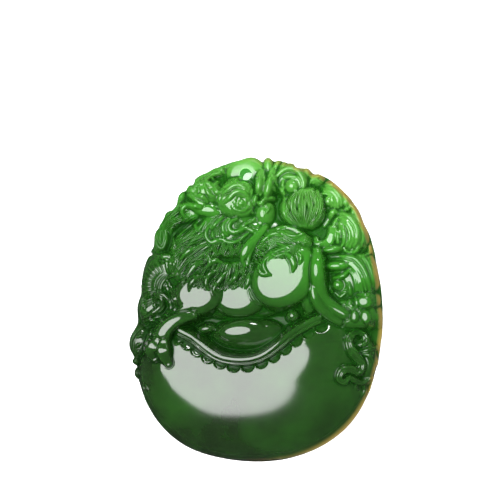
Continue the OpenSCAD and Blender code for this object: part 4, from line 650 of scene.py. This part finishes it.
def soft_max(a, b, soft):
    """The higher of two heights, with a fillet where they cross."""
    blend = np.clip(0.5 + 0.5 * (b - a) / soft, 0, 1)
    return a * (1 - blend) + b * blend + soft * blend * (1 - blend)


def read_height(field, x, y):
    """Height at points between the grid's own, by blending the nearest four."""
    u = np.clip((x - xs[0]) / STEP, 0, len(xs) - 1.001)
    v = np.clip((y - ys[0]) / STEP, 0, len(ys) - 1.001)
    i, j = u.astype(int), v.astype(int)
    u, v = u - i, v - j
    return ((field[j, i] * (1 - u) + field[j, i + 1] * u) * (1 - v)
            + (field[j + 1, i] * (1 - u) + field[j + 1, i + 1] * u) * v)


def blurred(field, radius):
    """The field averaged three times over a square, which is close to a round blur."""
    n = max(1, int(round(radius / STEP)))
    out = field
    for _ in range(3):
        for axis in (0, 1):
            pad = [(0, 0), (0, 0)]
            pad[axis] = (n + 1, n)
            total = np.cumsum(np.pad(out, pad, mode="edge"), axis=axis)
            size = out.shape[axis]
            high = np.take(total, range(2 * n + 1, 2 * n + 1 + size), axis=axis)
            low = np.take(total, range(0, size), axis=axis)
            out = (high - low) / (2 * n + 1)
    return out


def near_line(box, line):
    """For each field point of the box, its distance from the line and the nearest point's index."""
    x = grid_x[box].ravel()
    y = grid_y[box].ravel()
    distance = np.empty(len(x))
    nearest = np.empty(len(x), int)
    rows = max(1, MOST_PAIRS // len(line))
    for k in range(0, len(x), rows):
        part = slice(k, k + rows)
        d2 = (x[part, None] - line[None, :, 0])**2 + (y[part, None] - line[None, :, 1])**2
        nearest[part] = d2.argmin(1)
        distance[part] = np.sqrt(d2.min(1))
    shape = grid_x[box].shape
    return distance.reshape(shape), nearest.reshape(shape)


def line_box(line, reach):
    """Window of the field round a line."""
    return window(line[:, 0].min() - reach, line[:, 0].max() + reach,
                  line[:, 1].min() - reach, line[:, 1].max() + reach)


def arch(share, flatness):
    """Fall of a rounded back: 0 on its ridge and 1 at its edge."""
    return 1 - (1 - np.minimum(share, 1)**flatness)**(1 / flatness)


class Cord:
    """A rounded cord on the face. Rows: x, y, height over the form below, half width."""

    def __init__(self, rows, base, flatness=2.2, roundness=0.9, moat=0.5, gap=0.35, even=0.9):
        self.line = smooth_line(rows)
        under = read_height(base, self.line[:, 0], self.line[:, 1])
        n = max(1, int(even / LINE_STEP))
        padded = np.pad(under, (n, n), mode="edge")
        kernel = np.ones(2 * n + 1) / (2 * n + 1)
        under = np.convolve(padded, kernel, mode="valid")
        self.half = np.maximum(self.line[:, 3], LEAST_HALF)
        self.ridge = under + self.line[:, 2] + CORD_STAND * self.half
        self.flatness = flatness
        self.roundness = roundness
        self.moat = moat
        self.gap = gap
        self.box = line_box(self.line, self.half.max() + CORD_MARGIN)
        self.distance, self.nearest = near_line(self.box, self.line)

    def cut_moat(self):
        """Lowers the stone under the cord and in a narrow strip beside it."""
        half = self.half[self.nearest]
        depth = self.moat * half
        fade = np.clip(1 - (self.distance - half) / self.gap, 0, 1)
        height[self.box] -= depth * fade

    def build(self):
        """Raises the cord, and leaves no fine hair where it lies on top."""
        half = self.half[self.nearest]
        z = (self.ridge[self.nearest] - self.roundness * half * arch(self.distance / half, self.flatness)
             - WALL_SLOPE * np.maximum(self.distance - half, 0))
        hair_depth[self.box] *= (z < height[self.box]) | (self.distance > half)
        height[self.box] = soft_max(height[self.box], z, CORD_BLEND)


def lay_cords(rows_list, **look):
    """Cords of one layer. All their moats are cut before any of them is raised."""
    base = height.copy()
    cords = [Cord(rows, base, **look) for rows in rows_list]
    for c in cords:
        c.cut_moat()
    for c in cords:
        c.build()


def cut_grooves(rows_list):
    """Incised lines. Rows: x, y, depth, half width."""
    for rows in rows_list:
        line = smooth_line(rows)
        half = np.maximum(line[:, 3], LEAST_GROOVE)
        box = line_box(line, half.max())
        distance, nearest = near_line(box, line)
        share = np.clip(1 - distance / half[nearest], 0, 1)
        height[box] -= line[:, 2][nearest] * share


def raise_mass(m, soft=0.2, moat=0.0, gap=0.5):
    """Rounded swelling of the stone. Columns as in the table of masses."""
    x, y, top, long, wide, drop, turn, flatness = m
    reach = max(long, wide) * 1.05 + CORD_MARGIN
    box = window(x - reach, x + reach, y - reach, y + reach)
    a = math.radians(turn)
    dx, dy = grid_x[box] - x, grid_y[box] - y
    ahead = dx * math.cos(a) + dy * math.sin(a)
    aside = dy * math.cos(a) - dx * math.sin(a)
    u = np.hypot(ahead / long, aside / wide)
    inside = top - drop * (1 - np.sqrt(np.maximum(1 - np.minimum(u, 1)**flatness, 0)))
    beyond = np.maximum(u - 1, 0) * min(long, wide)
    if moat:
        height[box] -= moat * np.clip(1 - beyond / gap, 0, 1) * (height[box] < top)
    height[box] = soft_max(height[box], inside - WALL_SLOPE * beyond, soft)


def spread(line, count):
    """The same line as evenly spaced points."""
    p = smooth_line(line)
    run = np.concatenate([[0], np.cumsum(np.hypot(*np.diff(p, axis=0).T))])
    at = np.linspace(0, run[-1], count)
    return np.stack([np.interp(at, run, p[:, k]) for k in (0, 1)], axis=1)


def comb(first, last, hairs, depth, count):
    """Locks swaying between two lines, and the run of the fine hairs on them for the material."""
    a, b = spread(first, LOCK_POINTS), spread(last, LOCK_POINTS)
    across = np.hypot(*(b - a).T)
    along = np.linspace(0, 1, LOCK_POINTS)
    tip = np.sqrt(np.sin(math.pi * (0.06 + 0.88 * along)))
    rows_list = []
    for i in range(count):
        pitch = across / count
        sway = LOCK_SWAY * pitch * np.sin(2 * math.pi * (LOCK_WAVES * along + 0.37 * i))
        share = (i + 0.5) / count + sway / across
        line = a + (b - a) * share[:, None]
        rise = LOCK_RISE * pitch * tip
        half = np.maximum(LOCK_HALF * pitch * tip, LOCK_LEAST_HALF)
        rows_list.append(np.column_stack([line, rise, half]).tolist())
    lay_cords(rows_list, flatness=2.0, roundness=0.8, moat=0.45)
    fine_a, fine_b = spread(first, HAIR_STEPS), spread(last, HAIR_STEPS)
    s, t = np.meshgrid(np.linspace(0, 1, HAIR_STEPS), np.linspace(0, 1, HAIR_STEPS), indexing="ij")
    x = fine_a[:, :1] + (fine_b - fine_a)[:, :1] * t
    y = fine_a[:, 1:] + (fine_b - fine_a)[:, 1:] * t
    cell = (np.searchsorted(ys, y) * len(xs) + np.searchsorted(xs, x)).ravel()
    number = np.bincount(cell, minlength=height.size)
    mean = np.maximum(number, 1)
    wave = hairs * t + HAIR_WAVE * np.sin(5 * s + 4 * t)
    fade = depth * np.clip(HAIR_FADE * s, 0, 1) * np.clip(HAIR_FADE * (1 - s), 0, 1)
    met = (number > 0).reshape(height.shape)
    for field, value in ((hair_run, wave), (hair_depth, fade)):
        total = np.bincount(cell, weights=value.ravel(), minlength=height.size) / mean
        field[met] = total.reshape(height.shape)[met]


# Ground, swellings and bag

GROUND_FALL = 3
LOWEST_GROUND = -0.6
BEYOND_RIM = 2.6
DISC_DROP = 1.2
DISC_FLATNESS = 3.4

share = outline_share(grid_x, grid_y)
height[:] = EDGE_T + (GROUND_T - EDGE_T) * np.maximum(1 - share**GROUND_FALL, LOWEST_GROUND)

rim_rows = smooth_line(rim_line, 0.3)
rim_y = np.interp(xs, rim_rows[:, 0], rim_rows[:, 1], left=RIM_END_Y, right=RIM_END_Y)
over_rim = np.maximum(grid_y - rim_y[None, :], 0)
mouth = np.clip(over_rim / 0.6, 0, 1) * np.clip((MOUTH_TOP - grid_y) / 2.0, 0, 1)
mouth *= np.clip((grid_x - MOUTH_X[0]) / 2.5, 0, 1) * np.clip((MOUTH_X[1] - grid_x) / 2.0, 0, 1)
height -= MOUTH_DEPTH * mouth
bag = bag_rise(bag_share(grid_x, grid_y)) - BEYOND_RIM * over_rim
height[:] = soft_max(height, bag, 0.1)

disc = [HOLE_AT[0], HOLE_AT[1], DISC_T, DISC_R, DISC_R, DISC_DROP, 0, DISC_FLATNESS]
raise_mass(disc, moat=0.5, gap=0.8)
for m in low_masses:
    raise_mass(m)
for m in masses:
    raise_mass(m, soft=0.8)
for m in knobs:
    raise_mass(m, soft=0.1, moat=0.3, gap=0.35)

# Carved detail, from the lowest layer to the highest

TOOTH_GROOVE = (0.25, 0.14)
RIBBON_GROOVE = 0.3
RIBBON_SHARE = 0.45

for field in hair:
    comb(*field)
cut_grooves(grooves)
lay_cords(fin_cords)
teeth = []
for i in range(TEETH):
    a = math.radians(FIRST_TOOTH + TOOTH_TURN * i)
    teeth.append([[FIN_AT[0] + reach * math.cos(a), FIN_AT[1] + reach * math.sin(a), rise, half]
                  for reach, rise, half in tooth])
lay_cords(teeth)
cut_grooves([[[x, y, *TOOTH_GROOVE] for x, y, rise, half in rows] for rows in teeth])
lay_cords(cloud_cords)
lay_cords([collar_loop], flatness=3.2, roundness=0.6)
lay_cords(curls)
lay_cords(head_cords)
lay_cords(hind_leg, roundness=1.2, even=4.0)
lay_cords(limbs, flatness=2.6, even=5.0)
lay_cords(claws, flatness=3.4, roundness=0.55, moat=0.7, even=3.0)
lay_cords(scrolls, flatness=2.4)
lay_cords([ribbon], flatness=2.6)
lay_cords(ribbon_leaves)
ribbon_rows = np.array(ribbon)
ribbon_rows[:, 2] = RIBBON_GROOVE
ribbon_rows[:, 3] = RIBBON_SHARE * ribbon_rows[:, 3]
cut_grooves([ribbon_rows])

# Trim of the bag: a double rim and a row of half-round scallops below it
for k, (x, y) in enumerate(scallops):
    box = window(x - 2, x + 2, y - 2, y + 2)
    run = np.subtract(scallops[min(k + 1, len(scallops) - 1)], scallops[max(k - 1, 0)])
    run /= np.hypot(*run)
    dx, dy = grid_x[box] - x, grid_y[box] - y
    below = dx * run[1] - dy * run[0]
    d = np.hypot(dx, dy)
    level = bag_rise(bag_share(grid_x[box], grid_y[box]))
    tilted = level - SCALLOP_SINK + SCALLOP_TILT * below / SCALLOP_R - 0.2 * (d / SCALLOP_R)**4
    inside = (d < SCALLOP_R) & (below > -0.25)
    height[box] = np.where(inside, tilted, height[box])
for shift, rise, half in rim_cords:
    rows = [[x, y, rise, half] for x, y in beside(rim_rows, shift)[4:-6:4]]
    lay_cords([rows], flatness=3.6, roundness=0.6, moat=0.9, even=3.0)

# Edge of the stone: every form that reaches it is rounded over
EDGE_R = 0.9
LEAST_T = 2.0
to_edge = np.maximum(outline_at(grid_x, grid_y) - np.hypot(grid_x, grid_y), 0)
inset = np.minimum(to_edge, EDGE_R)
height -= EDGE_R - np.sqrt(2 * EDGE_R * inset - inset**2)
height[:] = np.maximum(blurred(height, 0.05), LEAST_T)


# Solid stone

MOST_TRIANGLES = 190_000
SHARP_ANGLE = math.radians(50)
FLAT_BACK = -0.995
WALL_PROUD = 0.3

# Rings of the body. Columns: z, share of the smooth oval, distance drawn in
body_rings = [
    [0.0, 1.0, 1.1], [0.3, 1.0, 0.5], [0.8, 0.95, 0.15], [1.6, 0.85, 0.0],
    [3.0, 0.6, 0.0], [4.6, 0.25, 0.0], [6.0, 0.0, 0.0], [16.0, 0.0, 0.0],
]


def closed_mesh(name, bm):
    """Object of a bmesh, with its faces outwards."""
    bmesh.ops.recalc_face_normals(bm, faces=bm.faces)
    mesh = bpy.data.meshes.new(name)
    bm.to_mesh(mesh)
    bm.free()
    obj = bpy.data.objects.new(name, mesh)
    bpy.context.scene.collection.objects.link(obj)
    return obj


def field_block():
    """Block whose top is the height field and whose floor is below the stone's back."""
    bm = bmesh.new()
    bmesh.ops.create_grid(bm, x_segments=len(xs) - 1, y_segments=len(ys) - 1, size=1)
    edge = [e for e in bm.edges if e.is_boundary]
    grown = bmesh.ops.extrude_edge_only(bm, edges=edge)["geom"]
    for v in grown:
        if isinstance(v, bmesh.types.BMVert):
            v.co.z = -1
    bmesh.ops.contextual_create(bm, geom=[e for e in grown if isinstance(e, bmesh.types.BMEdge)])
    obj = closed_mesh("carved_stone", bm)
    co = np.empty(len(obj.data.vertices) * 3)
    obj.data.vertices.foreach_get("co", co)
    co = co.reshape(-1, 3)
    i = np.rint((co[:, 0] + 1) / 2 * (len(xs) - 1)).astype(int)
    j = np.rint((co[:, 1] + 1) / 2 * (len(ys) - 1)).astype(int)
    top = co[:, 2] > -0.5
    co[:, 2] = np.where(top, height[j, i], -2.0) * MM
    co[:, 0] = xs[i] * MM
    co[:, 1] = ys[j] * MM
    obj.data.vertices.foreach_set("co", co.ravel())
    obj.data.update()
    return obj


def stone_body():
    """Upright body with the silhouette of the stone, drawn in to a smooth oval at the flat back."""
    oval = 1 / outline_share(np.cos(outline_angle), np.sin(outline_angle))
    bm = bmesh.new()
    loops = []
    for z, plain, inset in body_rings:
        reach = outline_reach * (1 - plain) + np.minimum(oval, outline_reach + WALL_PROUD) * plain - inset
        loops.append([bm.verts.new((r * math.cos(a) * MM, r * math.sin(a) * MM, z * MM))
                      for r, a in zip(reach, outline_angle)])
    for low, high in zip(loops, loops[1:]):
        for k in range(OUTLINE_STEPS):
            n = (k + 1) % OUTLINE_STEPS
            bm.faces.new((low[k], low[n], high[n], high[k]))
    bm.faces.new(loops[0][::-1])
    bm.faces.new(loops[-1])
    return closed_mesh("stone_body", bm)


def hole_tool():
    """Drill through the disc."""
    bm = bmesh.new()
    radius = HOLE_R * MM
    bmesh.ops.create_cone(bm, cap_ends=True, segments=96, radius1=radius, radius2=radius, depth=30 * MM)
    bmesh.ops.translate(bm, verts=bm.verts, vec=(HOLE_AT[0] * MM, HOLE_AT[1] * MM, 0))
    return closed_mesh("hole_tool", bm)


def boolean(obj, tool, operation):
    m = obj.modifiers.new(operation.lower(), "BOOLEAN")
    m.object = tool
    m.operation = operation
    m.solver = "MANIFOLD"


def apply_modifiers(obj):
    """Keeps the mesh that the modifiers give, and takes them off."""
    bpy.context.view_layer.update()
    done = bpy.data.meshes.new_from_object(obj.evaluated_get(bpy.context.evaluated_depsgraph_get()))
    obj.modifiers.clear()
    obj.data = done


stone = field_block()
body = stone_body()
tool = hole_tool()
boolean(stone, body, "INTERSECT")
boolean(stone, tool, "DIFFERENCE")
apply_modifiers(stone)
triangles = sum(len(p.vertices) - 2 for p in stone.data.polygons)
if triangles > MOST_TRIANGLES:
    fewer = stone.modifiers.new("fewer", "DECIMATE")
    fewer.ratio = MOST_TRIANGLES / triangles
    fewer.use_collapse_triangulate = True
    apply_modifiers(stone)
for helper in (body, tool):
    bpy.data.objects.remove(helper)
stone.data.shade_smooth()
stone.data.set_sharp_from_angle(angle=SHARP_ANGLE)
for face in stone.data.polygons:
    if face.normal.z < FLAT_BACK:
        face.use_smooth = False

# Masks for the stone's colour and polish, read from the height field at each corner. The crevice mask
# darkens the colour in hollows as painted shade and also dulls the polish there. The bore mask makes the
# hole's wall glow as painted light

FINE_HOLLOW = 0.35
BROAD_HOLLOW = 1.2
RIM_WIDTH = 3.0
BORE_BLEND = 0.05

co = np.empty(len(stone.data.vertices) * 3)
stone.data.vertices.foreach_get("co", co)
co = co.reshape(-1, 3) / MM
x, y, z = co.T
# How deep each point lies in a hollow: it drives painted shade in the colour and a duller polish
fine = blurred(height, FINE_HOLLOW) - height
broad = blurred(height, BROAD_HOLLOW) - height
crevice_shade_and_dull = np.clip(0.5 + 0.9 * fine + 0.35 * broad, 0, 1)
from_edge = outline_at(x, y) - np.hypot(x, y)
on_face = np.clip((z - 2.0) / 1.5, 0, 1)
from_bore = np.hypot(x - HOLE_AT[0], y - HOLE_AT[1]) - HOLE_R
masks = {
    "bore": np.clip(1 - from_bore / BORE_BLEND, 0, 1),
    "crevice_shade_and_dull": read_height(crevice_shade_and_dull, x, y) * on_face,
    "rim": np.clip(1 - from_edge / RIM_WIDTH, 0, 1) * np.clip(z, 0, 1),
    "hair_run": read_height(hair_run, x, y),
    "hair_depth": read_height(hair_depth, x, y) * on_face,
}
for name, values in masks.items():
    attribute = stone.data.attributes.new(name, "FLOAT", "POINT")
    attribute.data.foreach_set("value", values.astype(np.float32))


# Material

# Green from the bag to the top of the stone. Columns: position, colour
greens = [
    [0.0, (0.006, 0.014, 0.004, 1)],
    [0.5, (0.010, 0.040, 0.006, 1)],
    [0.75, (0.026, 0.155, 0.011, 1)],
    [1.0, (0.072, 0.26, 0.034, 1)],
]
CLOUDING = (0.02, 0.10, 0.010, 1)
BROWN_SKIN = (0.27, 0.20, 0.04, 1)
# Painted shade for the hollows: near black low on the stone, dark green higher up
LOW_PAINTED_SHADE = (0.001, 0.003, 0.001, 1)
HIGH_PAINTED_SHADE = (0.009, 0.085, 0.004, 1)
# Painted glow for the wall of the cord hole, as if light shone through the stone
PAINTED_BORE_GLOW = (0.03, 0.30, 0.015, 1)
NO_GLOW = (0, 0, 0, 1)


def socket(node, name):
    return next(s for s in node.inputs if s.name == name and s.enabled)


def make_jade():
    """Jade: paler upwards, with painted shade and a duller polish in its hollows, a painted glow on the
    wall of the cord hole, brown along its right edge.
    """
    material = bpy.data.materials.new("jade")
    material.use_nodes = True
    nodes, links = material.node_tree.nodes, material.node_tree.links
    shader = nodes["Principled BSDF"]

    def add(kind, **settings):
        node = nodes.new(kind)
        for key, value in settings.items():
            setattr(node, key, value)
        return node

    def put(value, target):
        if isinstance(value, bpy.types.NodeSocket):
            links.new(value, target)
        else:
            target.default_value = value

    def mix(share, a, b):
        node = add("ShaderNodeMix", data_type="RGBA")
        for name, value in (("Factor", share), ("A", a), ("B", b)):
            put(value, socket(node, name))
        return next(s for s in node.outputs if s.enabled)

    def ramp(value, low, high, start=0.0, end=1.0):
        node = add("ShaderNodeMapRange")
        names = ("Value", "From Min", "From Max", "To Min", "To Max")
        for name, number in zip(names, (value, low, high, start, end)):
            put(number, node.inputs[name])
        return node.outputs[0]

    def maths(operation, *values):
        node = add("ShaderNodeMath", operation=operation)
        for value, target in zip(values, node.inputs):
            put(value, target)
        return node.outputs[0]

    def mask(name):
        return add("ShaderNodeAttribute", attribute_name=name).outputs["Fac"]

    where = add("ShaderNodeTexCoord").outputs["Object"]
    place = add("ShaderNodeSeparateXYZ")
    put(where, place.inputs[0])
    toward = add("ShaderNodeVectorMath", operation="DOT_PRODUCT")
    put(where, toward.inputs[0])
    put((0.35, 1.0, 0.0), toward.inputs[1])
    up = ramp(toward.outputs["Value"], -28 * MM, 28 * MM)
    paler = add("ShaderNodeValToRGB")
    for _ in greens[2:]:
        paler.color_ramp.elements.new(0.5)
    for stop, (position, colour) in zip(paler.color_ramp.elements, greens):
        stop.position = position
        stop.color = colour
    put(up, paler.inputs[0])
    noise = add("ShaderNodeTexNoise")
    put(90, noise.inputs["Scale"])
    put(4, noise.inputs["Detail"])
    put(where, noise.inputs["Vector"])
    clouded = mix(ramp(noise.outputs["Fac"], 0.4, 0.8, 0.0, 0.5), paler.outputs["Color"], CLOUDING)
    rim = mask("rim")
    skin = maths("MULTIPLY", ramp(rim, 0.6, 0.85), ramp(place.outputs["X"], -4 * MM, 16 * MM))
    skinned = mix(skin, clouded, BROWN_SKIN)
    crevice_shade_and_dull = mask("crevice_shade_and_dull")
    # Painted shade: the base colour darkens in the hollows, more strongly low on the stone
    painted_shade = mix(up, LOW_PAINTED_SHADE, HIGH_PAINTED_SHADE)
    put(mix(ramp(crevice_shade_and_dull, 0.5, 0.85), skinned, painted_shade), socket(shader, "Base Color"))
    # The hole's wall glows green through emission: painted light, not a lamp
    put(mix(mask("bore"), NO_GLOW, PAINTED_BORE_GLOW), socket(shader, "Emission Color"))
    strands = maths("SINE", maths("MULTIPLY", mask("hair_run"), 2 * math.pi))
    bump = add("ShaderNodeBump")
    put(MM, bump.inputs["Distance"])
    put(maths("MULTIPLY", strands, mask("hair_depth")), bump.inputs["Height"])
    put(bump.outputs[0], socket(shader, "Normal"))
    polish = ramp(place.outputs["Y"], -8 * MM, -24 * MM, 0.07, 0.19)
    dull = maths("MAXIMUM", ramp(crevice_shade_and_dull, 0.72, 1.0), rim)
    put(ramp(dull, 0.0, 1.0, polish, 0.4), socket(shader, "Roughness"))
    put(ramp(dull, 0.0, 1.0, 0.5, 0.12), socket(shader, "Specular IOR Level"))
    plain = {"Emission Strength": 1.0, "IOR": 1.62, "Subsurface Weight": 0.35,
             "Subsurface Radius": (0.5, 1.0, 0.4), "Subsurface Scale": 1.2 * MM}
    for name, value in plain.items():
        put(value, socket(shader, name))
    return material


stone.data.materials.clear()
stone.data.materials.append(make_jade())
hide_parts("jade_carving")
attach(stone, "root")

# Floor, lights and camera

FLOOR_HALF = 1.5
TARGET = Vector((-0.0016, 0.0118, 0.008))
DISTANCE = 0.2345
TILT_X = math.radians(4)
TILT_Y = math.radians(-2)

bm = bmesh.new()
bmesh.ops.create_grid(bm, x_segments=1, y_segments=1, size=FLOOR_HALF)
floor = closed_mesh("floor", bm)
paint = bpy.data.materials.new("floor_paint")
paint.use_nodes = True
chalk = {"Base Color": (0.8, 0.8, 0.8, 1), "Roughness": 0.8, "Emission Color": (1, 1, 1, 1),
         "Emission Strength": 0.6}
for name, value in chalk.items():
    socket(paint.node_tree.nodes["Principled BSDF"], name).default_value = value
floor.data.materials.append(paint)
floor.visible_glossy = False


def aim(obj, target):
    """Turns a camera or light to face a point, with the Y axis of the stone upwards in its view."""
    back = (obj.location - Vector(target)).normalized()
    right = Vector((0, 1, 0)).cross(back).normalized()
    obj.rotation_euler = Matrix((right, back.cross(right), back)).transposed().to_euler()


def soft_light(name, place, diameter, power, mirrored=True):
    """Round light that faces the stone, and that its polish may or may not mirror."""
    light = bpy.data.lights.new(name, "AREA")
    light.shape = "DISK"
    light.size = diameter
    light.energy = power
    obj = bpy.data.objects.new(name, light)
    obj.location = place
    bpy.context.scene.collection.objects.link(obj)
    obj.visible_glossy = mirrored
    aim(obj, (0, 0, 0))


soft_light("main_softbox", (-0.12, 0.01, 0.42), 0.40, 3.2)
soft_light("fill", (0.02, 0.02, 0.6), 0.8, 4.4, mirrored=False)
soft_light("top_light", (0.16, 0.52, 0.30), 0.16, 1.5)

world = bpy.data.worlds.new("studio")
world.use_nodes = True
world.node_tree.nodes["Background"].inputs["Color"].default_value = (1, 1, 1, 1)
world.node_tree.nodes["Background"].inputs["Strength"].default_value = 0.07
bpy.context.scene.world = world
bpy.context.scene.view_settings.view_transform = "Standard"

lens = bpy.data.cameras.new("camera")
lens.lens = 85
lens.sensor_width = 36
lens.clip_start = 0.01
camera = bpy.data.objects.new("camera", lens)
bpy.context.scene.collection.objects.link(camera)
back = Vector((math.sin(TILT_X), math.sin(TILT_Y), math.cos(TILT_X) * math.cos(TILT_Y)))
camera.location = TARGET + DISTANCE * back
aim(camera, TARGET)
bpy.context.scene.camera = camera
